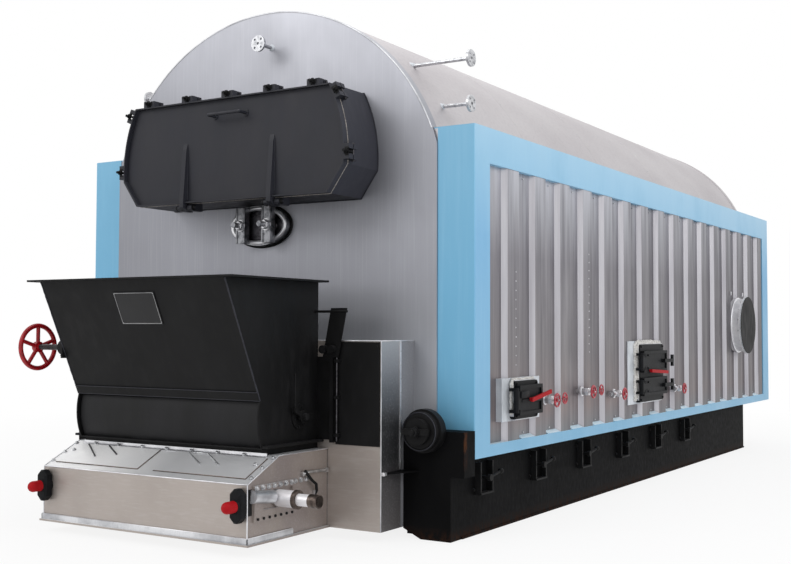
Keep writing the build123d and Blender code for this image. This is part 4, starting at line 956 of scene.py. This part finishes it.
def dress_grate_side():
    half = GRATE_HALF
    toe, bright, dark, housing = bmesh.new(), bmesh.new(), bmesh.new(), bmesh.new()
    toe_low, toe_high, toe_width = GRATE_FOOT + 8, GRATE_FOOT + 38, 9
    add_block(toe, (-half - toe_width, GRATE_FRONT - toe_width, toe_low),
              (half + toe_width, GRATE_FRONT, toe_high), 3)
    for side in SIDES:
        low, high = sorted((side * half, side * (half + toe_width)))
        add_block(toe, (low, GRATE_FRONT - toe_width, toe_low), (high, BOX_SIDE_END, toe_high), 3)
        low, high = sorted((side * (half + 1), side * (half + 5)))
        add_block(dark, (low, GRATE_FRONT + 4, 200), (high, GRATE_FRONT + 30, 325), 1.5)
        for number in range(10):
            y = -3490 + 46 * number
            face = BEARING_FACE if BEARING_ENDS[0] < y < BEARING_ENDS[1] else half
            add_bolt(bright, at(side * face, y, 327), (side, 0, 0), 13, stud=4)
        for number in range(7):
            add_prism(dark, at(side * BEARING_FACE, -3478 + 45 * number, 178), (side, 0, 0), 7, 5, 12)
        x = side * (BEARING_FACE + 1)
        add_prism(housing, at(x, -3524, 290), (0, 1, -0.1), 29, 156, 28, 33)
        add_prism(housing, at(x, -3527, 290.3), (0, 1, -0.1), 32, 9, 28)
    solid_piece("grate_box_toe_angle", toe, TRIM)
    solid_piece("take_up_plate_bolts", bright, ZINC)
    solid_piece("grate_side_dark_plugs", dark, BLACK)
    solid_piece("take_up_screw_housing", housing, TRIM)
    side_x, front, back = half + 5, GRATE_FRONT - 5, BOX_SIDE_END - 2
    corners = ((-side_x, back), (-side_x, front), (side_x, front), (side_x, back))
    line = [at(x, y, toe_high) for x, y in corners]
    tube_piece("toe_angle_bright_line", [line], 2.6, EDGE)
    collar = bmesh.new()
    add_prism(collar, at(half + 118, *SHAFT_PLACE), (1, 0, 0), 47, 18, 32)
    add_prism(collar, at(half + 206, *SHAFT_PLACE), (1, 0, 0), 33, 54, 32)
    solid_piece("roller_shaft_collars", collar, BROWN_STEEL)
    bar = [at(half + out, y, z) for out, y, z in ((8, -3110, 352), (14, -3100, 361), (16, -3060, 362),
                                                  (16, -2930, 358), (8, -2902, 356))]
    tube_piece("scraper_bar", [bar], 7, ZINC)
    hook = [at(half + out, y, z) for out, y, z in ((16, -3104, 372), (20, -3084, 348), (20, -3050, 318),
                                                   (20, -3014, 296), (18, -3006, 262), (10, -3012, 240))]
    tube_piece("catch_hook", [hook], 8, BLACK)
    clips, clip_half = bmesh.new(), 11
    for y, z in ((-3108, 356), (-2908, 356), (-3008, 252)):
        add_block(clips, (half, y - clip_half, z - clip_half), (half + 16, y + clip_half, z + clip_half), 2)
    solid_piece("scraper_bar_clips", clips, ZINC)


def dress_tension_caps():
    rings, height = bmesh.new(), 250
    for side in SIDES:
        x = side * (GRATE_HALF - 35)
        add_prism(rings, at(x, GRATE_FRONT - 52, height), (0, -1, 0), 35, 9, 28, 31)
        for z in (height - 60, height + 60):
            add_bolt(rings, at(x, GRATE_FRONT - 44, z), (0, -1, 0), 11)
    solid_piece("tension_cap_rings", rings, CAST)


# Wall box and header ends

WALL_PANEL_INNER = 757
WALL_FOOT_HEIGHT = 343
WALL_PANEL_RIVET_X = (782, 1012)
WALL_PANEL_RIVET_HEIGHTS = (515, 760, 1005)
HEADER_X = 1180
HEADER_HEIGHT = 566
HEADER_RIM = 98
HEADER_NUT_FOOT = -2793.5
HEADER_FACE = -2748.5


def dress_wall_box():
    lines = []
    for side in SIDES:
        corner = at(side * WALL_HALF, WALL_FACE, WALL_TOP)
        back = at(side * WALL_HALF, PLATE_FACE - 3, WALL_TOP)
        lines.append([back, corner, at(side * WALL_PANEL_INNER, WALL_FACE, WALL_TOP)])
        lines.append([corner, at(side * WALL_HALF, WALL_FACE, GRATE_FOOT + 2)])
    tube_piece("wall_box_bright_edges", lines, 3.2, TRIM)
    angle, rivets, panels = bmesh.new(), bmesh.new(), bmesh.new()
    foot = WALL_FOOT_HEIGHT
    for side in SIDES:
        low, high = sorted((side * (WALL_HALF - 1), side * (WALL_HALF + 5)))
        add_block(angle, (low, WALL_FACE + 178, foot + 17), (high, WALL_FACE + 192, WALL_TOP - 2), 1.5)
        low, high = sorted((side * (WALL_HALF + 2), side * (WALL_HALF + 22)))
        add_block(angle, (low, WALL_FACE - 1, foot), (high, WALL_FACE + 26, foot + 18), 2)
        for number in range(9):
            place = at(side * (WALL_HALF + 5), WALL_FACE + 185, foot + 57 + 72 * number)
            add_rivet(rivets, place, (side, 0, 0), 4)
        for x in WALL_PANEL_RIVET_X:
            for z in WALL_PANEL_RIVET_HEIGHTS:
                add_rivet(panels, at(side * x, WALL_FACE - 5, z), (0, -1, 0), 6)
    solid_piece("wall_box_side_angles", angle, EDGE)
    solid_piece("wall_box_angle_rivets", rivets, ZINC)
    solid_piece("wall_panel_rivets", panels, BLACK)


def dress_headers():
    nuts = bmesh.new()
    for side in SIDES:
        add_bolt(nuts, at(side * HEADER_X, HEADER_NUT_FOOT, HEADER_HEIGHT), (0, -1, 0), 29, stud=14)
    solid_piece("header_end_nuts", nuts, BLACK)
    rims = [arc(at(side * HEADER_X, HEADER_FACE, HEADER_HEIGHT), HEADER_RIM, 0, 350, 35) for side in SIDES]
    tube_piece("header_end_rims", rims, 3, SMOKEBOX, closed=True)


# Side casing

DRIP_HALF = (19, 88)
SHEET_LAPS = ((-2049, 895, 1453), (-980, 951, 1623))
LAP_RIVET_PITCH = 52


def dress_side_sheets():
    screws, rivets, drips = bmesh.new(), bmesh.new(), bmesh.new()
    depth = CASING_HALF - RIB_CREST + RIB_DEPTH
    out, along = DRIP_HALF
    for side in SIDES:
        way = (side, 0, 0)
        slope = Matrix.Rotation(side * math.radians(24), 4, "Y")
        middle = side * (CASING_HALF - depth / 2)
        valley = CASING_FRONT + FIRST_CREST + (CREST_WIDTH + RIB_PITCH) / 2
        while valley < PANEL_BACK - 20:
            for z in (PANEL_BOTTOM + 30, PANEL_TOP - 30):
                add_bolt(screws, at(side * (RIB_CREST - RIB_DEPTH), valley, z), way, 6)
            add_block(drips, (middle - out, valley - along, PANEL_BOTTOM + 7),
                      (middle + out, valley + along, PANEL_BOTTOM + 10), 1, slope)
            valley += RIB_PITCH
        for y, low, high in SHEET_LAPS:
            for number in range(int((high - low) / LAP_RIVET_PITCH) + 1):
                place = at(side * RIB_CREST, y + chance.uniform(-3, 3), low + LAP_RIVET_PITCH * number)
                add_rivet(rivets, place, way, 4.5)
    solid_piece("side_sheet_screws", screws, ZINC)
    solid_piece("side_sheet_lap_rivets", rivets, TRIM)
    solid_piece("side_drip_flashings", drips, BLUE)
    corners = ((PANEL_FRONT, PANEL_BOTTOM), (PANEL_FRONT, PANEL_TOP),
               (PANEL_BACK, PANEL_TOP), (PANEL_BACK, PANEL_BOTTOM))
    folds = [[at(side * (CASING_HALF - 3), y, z) for y, z in corners] for side in SIDES]
    tube_piece("side_frame_inner_folds", folds, 3, BLUE)


# The side doors' surrounds and sleeves as places back from the casing's front and heights, and
# the rope's radius. The leaves as places back, and each leaf's bottom and top.
DOORS = {
    "inspection": ((309, 790), (590, 824), (405, 700), (600, 808), 9),
    "fire": ((2248, 2926), (576, 1013), (2400, 2894), (587, 990), 13),
}
INSPECTION_LEAF = 405
FIRE_LEAF = 2400
FIRE_LEAVES = (("fire_door_upper", 795, 945), ("fire_door_lower", 632, 757))
LEAF_FACE = 1466
SIDE_HINGE_X = 1453
SLEEVE_ENDS = (1400, 1428)
FRAME_FACE = 1435
ROPE_X = 1415
OUTER_ROPE_X = 1408


def dress_doors():
    for name, (outer_y, outer_z, frame_y, frame_z, rope) in DOORS.items():
        sleeve, bolts, ropes, hems = bmesh.new(), bmesh.new(), [], []
        y0, y1 = (CASING_FRONT + back for back in frame_y)
        z0, z1 = frame_z
        for side in SIDES:
            low, high = sorted(side * x for x in SLEEVE_ENDS)
            add_block(sleeve, (low, y0 - 5, z0 + 14), (high, y0 - 0.5, z1 - 14), 1.5)
            add_block(sleeve, (low, y1 + 0.5, z0 + 14), (high, y1 + 5, z1 - 14), 1.5)
            add_block(sleeve, (low, y0 + 12, z1 + 0.5), (high, y1 - 12, z1 + 6), 1.5)
            add_block(sleeve, (low, y0 + 12, z0 - 6), (high, y1 - 12, z0 - 0.5), 1.5)
            for y in (y0 + 20, y1 - 20):
                for z in (z0 + 16, z1 - 16):
                    add_bolt(bolts, at(side * FRAME_FACE, y, z), (side, 0, 0), 8)
            top = ((y0 - 10, z0 + 24), (y0 - 10, z1 - 16), (y0 + 10, z1 + 10), (y1 - 24, z1 + 9))
            ropes.append(stepped([at(side * ROPE_X, y, z) for y, z in top], 15, wobble=2.6))
            if name == "fire":
                outer = ((y0 - 30, z0 + 6), (y0 - 30, z1 - 4), (y0 - 6, z1 + 18), (y1 - 60, z1 + 16))
                ropes.append(stepped([at(side * OUTER_ROPE_X, y, z) for y, z in outer], 17, wobble=4.5))
            a0, a1 = (CASING_FRONT + back for back in outer_y)
            corners = ((a0, outer_z[0]), (a0, outer_z[1]), (a1, outer_z[1]), (a1, outer_z[0]))
            hems.append([at(side * CASING_HALF, y, z) for y, z in corners])
        solid_piece(name + "_sleeve", sleeve, TRIM)
        solid_piece(name + "_frame_bolts", bolts, CAST)
        tube_piece(name + "_fibre_rope", ropes, rope, ROPE, ripple=0.3)
        tube_piece(name + "_surround_hem", hems, 2.5, SURROUND, closed=True)
    cross, y0, back = bmesh.new(), CASING_FRONT + INSPECTION_LEAF, LEAF_FACE - 8
    add_block(cross, (back, y0 + 20, 692), (LEAF_FACE + 3, y0 + 275, 708), 2)
    add_block(cross, (back, y0 + 3, 716), (LEAF_FACE + 7, y0 + 103, 753), 3)
    solid_piece("inspection_leaf_bars", cross, CAST, "inspection_door")
    y0 = CASING_FRONT + FIRE_LEAF
    for name, z0, z1 in FIRE_LEAVES:
        bars, pin = bmesh.new(), bmesh.new()
        for low in (z0 + 18, z1 - 42):
            add_block(bars, (back, y0 + 14, low), (LEAF_FACE + 2, y0 + 90, low + 24), 3)
            add_bolt(bars, at(LEAF_FACE + 2, y0 + 70, low + 12), (1, 0, 0), 9)
        add_prism(pin, at(SIDE_HINGE_X, y0 - 24, z0 + 38), (0, 0, 1), 14, z1 - z0 - 76, 20)
        solid_piece(name + "_hinge_plates", bars, CAST, name)
        solid_piece(name + "_bright_knuckle", pin, EDGE, name)


# Each blow-down valve's place back, its height and how far its drain cock reaches along Y
VALVES = ((880, 682, 146), (1440, 706, 168), (1990, 668, -86), (3269, 650, -84))
VALVE_FACE = RIB_CREST + 52
COCK_WHEEL_RADIUS = 31


def dress_valves():
    bodies, spindles, wheels = bmesh.new(), bmesh.new(), []
    x = VALVE_FACE - 30
    for back, z, reach in VALVES:
        y = CASING_FRONT + back
        add_prism(bodies, at(VALVE_FACE - 54, y, z), (1, 0, 0), 30, 8, 24)
        add_bolt(bodies, at(VALVE_FACE - 20, y, z), (1, 0, 0), 30, washer=False)
        way = (0, math.copysign(1, reach), 0)
        add_prism(bodies, at(x, y, z), way, 11, abs(reach), 16)
        add_prism(bodies, at(x, y + reach * 0.35, z), way, 19, 24, 6)
        add_prism(bodies, at(x, y + reach * 0.72, z), way, 22, 30, 16)
        if reach > 0:
            centre = at(VALVE_FACE + 14, y + reach, z + 4)
            add_prism(spindles, at(x, y + reach, z + 4), (1, 0, 0), 8, VALVE_FACE + 16 - x, 12)
            add_prism(spindles, at(VALVE_FACE - 18, y + reach, z + 4), (1, 0, 0), 16, 14, 6)
            wheels.append(arc(centre, COCK_WHEEL_RADIUS, 0, 360, 24, "yz"))
            for turn in (20, 140, 260):
                wheels.append([centre, arc(centre, COCK_WHEEL_RADIUS, turn, turn, 1, "yz")[0]])
        else:
            add_prism(spindles, at(x, y + reach, z), way, 24, 14, 24)
            add_bolt(spindles, at(x, y + reach - 14, z), (0, -1, 0), 12)
    solid_piece("valve_bright_bodies", bodies, EDGE)
    solid_piece("valve_spindles", spindles, STEEL)
    tube_piece("drain_cock_wheels", wheels, 5, VALVE_RED)


DUCT_BACK = 5090
DUCT_HEIGHT = 1140
DUCT_RADIUS = 240
DUCT_BOLT_CIRCLE = 245
DUCT_BLANK_RIM = 253
DUCT_BLANK_FACE = face_of("duct_blank", 1, 0)


def dress_duct():
    y, z, face = CASING_FRONT + DUCT_BACK, DUCT_HEIGHT, DUCT_BLANK_FACE
    nuts, lugs = bmesh.new(), bmesh.new()
    for number in range(16):
        turn = math.radians(11.25 + 22.5 * number)
        dy, dz = DUCT_BOLT_CIRCLE * math.cos(turn), DUCT_BOLT_CIRCLE * math.sin(turn)
        add_bolt(nuts, at(face - 22, y + dy, z + dz), (-1, 0, 0), 9)
    solid_piece("duct_flange_nuts", nuts, ZINC)
    flashing = arc(at(RIB_CREST + 4, y, z), DUCT_RADIUS, 0, 352, 44, "yz")
    tube_piece("duct_wall_flashing", [flashing], 9, EDGE, closed=True)
    seam = [at(x, y, z + DUCT_RADIUS - 3) for x in (RIB_CREST, face - 24)]
    tube_piece("duct_seam", [seam], 3, TRIM)
    rim = arc(at(face - 6, y, z), DUCT_BLANK_RIM, 0, 352, 44, "yz")
    tube_piece("duct_blank_rim", [rim], 3, SURROUND, closed=True)
    for along in (-238, 145):
        add_block(lugs, (RIB_CREST - 1, y + along - 8, z + 262), (RIB_CREST + 9, y + along + 8, z + 296), 3)
    solid_piece("duct_hanger_lugs", lugs, EDGE)


BASE_FACE = 1320
FIRST_DAMPER = 224
DAMPER_PITCH = 697


def dress_base():
    bolts = bmesh.new()
    for number in range(6):
        y = CASING_FRONT + FIRST_DAMPER + DAMPER_PITCH * number
        for side in SIDES:
            for dy in (-92, 92):
                for z in (240, 356):
                    add_bolt(bolts, at(side * BASE_FACE, y + dy, z), (side, 0, 0), 10)
    solid_piece("damper_bracket_bolts", bolts, BLACK)
    ends = (CASING_FRONT + 2, face_of("base_side_right", 1, 1) - 2)
    welds = [stepped([at(side * (BASE_FACE - 1), y, 6) for y in ends], 60) for side in SIDES]
    tube_piece("base_foot_welds", welds, 4, BASE_BLACK, ripple=0.25)


for dress in (dress_drum, dress_rear, dress_smokebox, dress_manhole, dress_nozzles, dress_hopper_plates,
              dress_label, dress_gates, dress_hand_wheel, dress_grate_deck, dress_grate_side,
              dress_tension_caps, dress_wall_box, dress_headers, dress_side_sheets, dress_doors,
              dress_valves, dress_duct, dress_base):
    dress()


# Camera, lights and floor

WORLD_LIGHT = 0.66
FLOOR_HALF = 60.0
WHITE_FLOOR_RING = (3, 8)
WHITE_FLOOR_SHARE = 0.84


def make_camera():
    cos_p = math.cos(CAMERA_PITCH)
    forward = Vector((-math.sin(CAMERA_YAW) * cos_p, math.cos(CAMERA_YAW) * cos_p,
                      math.sin(CAMERA_PITCH)))
    right = forward.cross(Vector((0, 0, 1))).normalized()
    up = right.cross(forward)
    turned_right = right * math.cos(CAMERA_ROLL) + up * math.sin(CAMERA_ROLL)
    turned_up = up * math.cos(CAMERA_ROLL) - right * math.sin(CAMERA_ROLL)
    data = bpy.data.cameras.new("camera")
    data.lens = LENS_MM
    data.sensor_width = SENSOR_MM
    camera = bpy.data.objects.new("camera", data)
    bpy.context.scene.collection.objects.link(camera)
    axes = Matrix((turned_right, turned_up, -forward)).transposed()
    camera.matrix_world = Matrix.Translation(CAMERA_PLACE) @ axes.to_4x4()
    bpy.context.scene.camera = camera


def area_light(name, place, target, size, watts):
    data = bpy.data.lights.new(name, "AREA")
    data.shape = "RECTANGLE"
    data.size, data.size_y = size
    data.energy = watts
    lamp = bpy.data.objects.new(name, data)
    bpy.context.scene.collection.objects.link(lamp)
    lamp.location = place
    lamp.rotation_euler = (Vector(target) - Vector(place)).to_track_quat("-Z", "Y").to_euler()


def seen_share(tree):
    """One where a ray comes from the camera or a mirror, so that both see plain white."""
    rays = add(tree, "LightPath").node.outputs
    seen = add(tree, "Math", rays["Is Camera Ray"], rays["Is Glossy Ray"], operation="MAXIMUM")
    return add(tree, "Math", seen, rays["Is Transmission Ray"], operation="MAXIMUM")


def make_world():
    world = bpy.data.worlds.new("studio")
    bpy.context.scene.world = world
    world.use_nodes = True
    tree = world.node_tree
    tree.nodes.clear()
    strength = add(tree, "MapRange", seen_share(tree), 0, 1, WORLD_LIGHT, 1)
    add(tree, "OutputWorld", add(tree, "Background", "#FFFFFF", strength))


def make_floor():
    """A pale studio floor: nearly white near the boiler, with its soft shadow, and white farther out."""
    mesh = bpy.data.meshes.new("floor")
    corners = [(x * FLOOR_HALF, y * FLOOR_HALF, 0) for x, y in ((-1, -1), (1, -1), (1, 1), (-1, 1))]
    mesh.from_pydata(corners, [], [(0, 1, 2, 3)])
    floor = bpy.data.objects.new("floor", mesh)
    bpy.context.scene.collection.objects.link(floor)
    material, node, place, shader = new_material("pale_studio_floor", roughness=0.9)
    mesh.materials.append(material)
    tree = material.node_tree
    shader.inputs["Base Color"].default_value = linear("#F4F4F4")
    distance = node("VectorMath", place, operation="LENGTH")
    whiter = node("MapRange", distance, *WHITE_FLOOR_RING, WHITE_FLOOR_SHARE, 1)
    white_share = node("Math", whiter, seen_share(tree), operation="MULTIPLY")
    surface = node("MixShader", white_share, shader.outputs[0], node("Emission", "#FFFFFF", 1))
    output = next(n for n in tree.nodes if n.bl_idname == "ShaderNodeOutputMaterial")
    tree.links.new(surface, output.inputs["Surface"])


make_camera()
make_world()
make_floor()
area_light("key_front_left", (-4.0, -12.0, 8.5), (0.0, -2.5, 1.2), (9.0, 5.0), 400)
area_light("side_right", (11.0, -3.0, 8.0), (1.4, -0.5, 1.3), (8.0, 5.0), 320)
area_light("overhead", (0.0, 0.0, 9.5), (0.0, 0.0, 2.0), (6.0, 9.0), 180)
bpy.context.scene.view_settings.view_transform = "Standard"
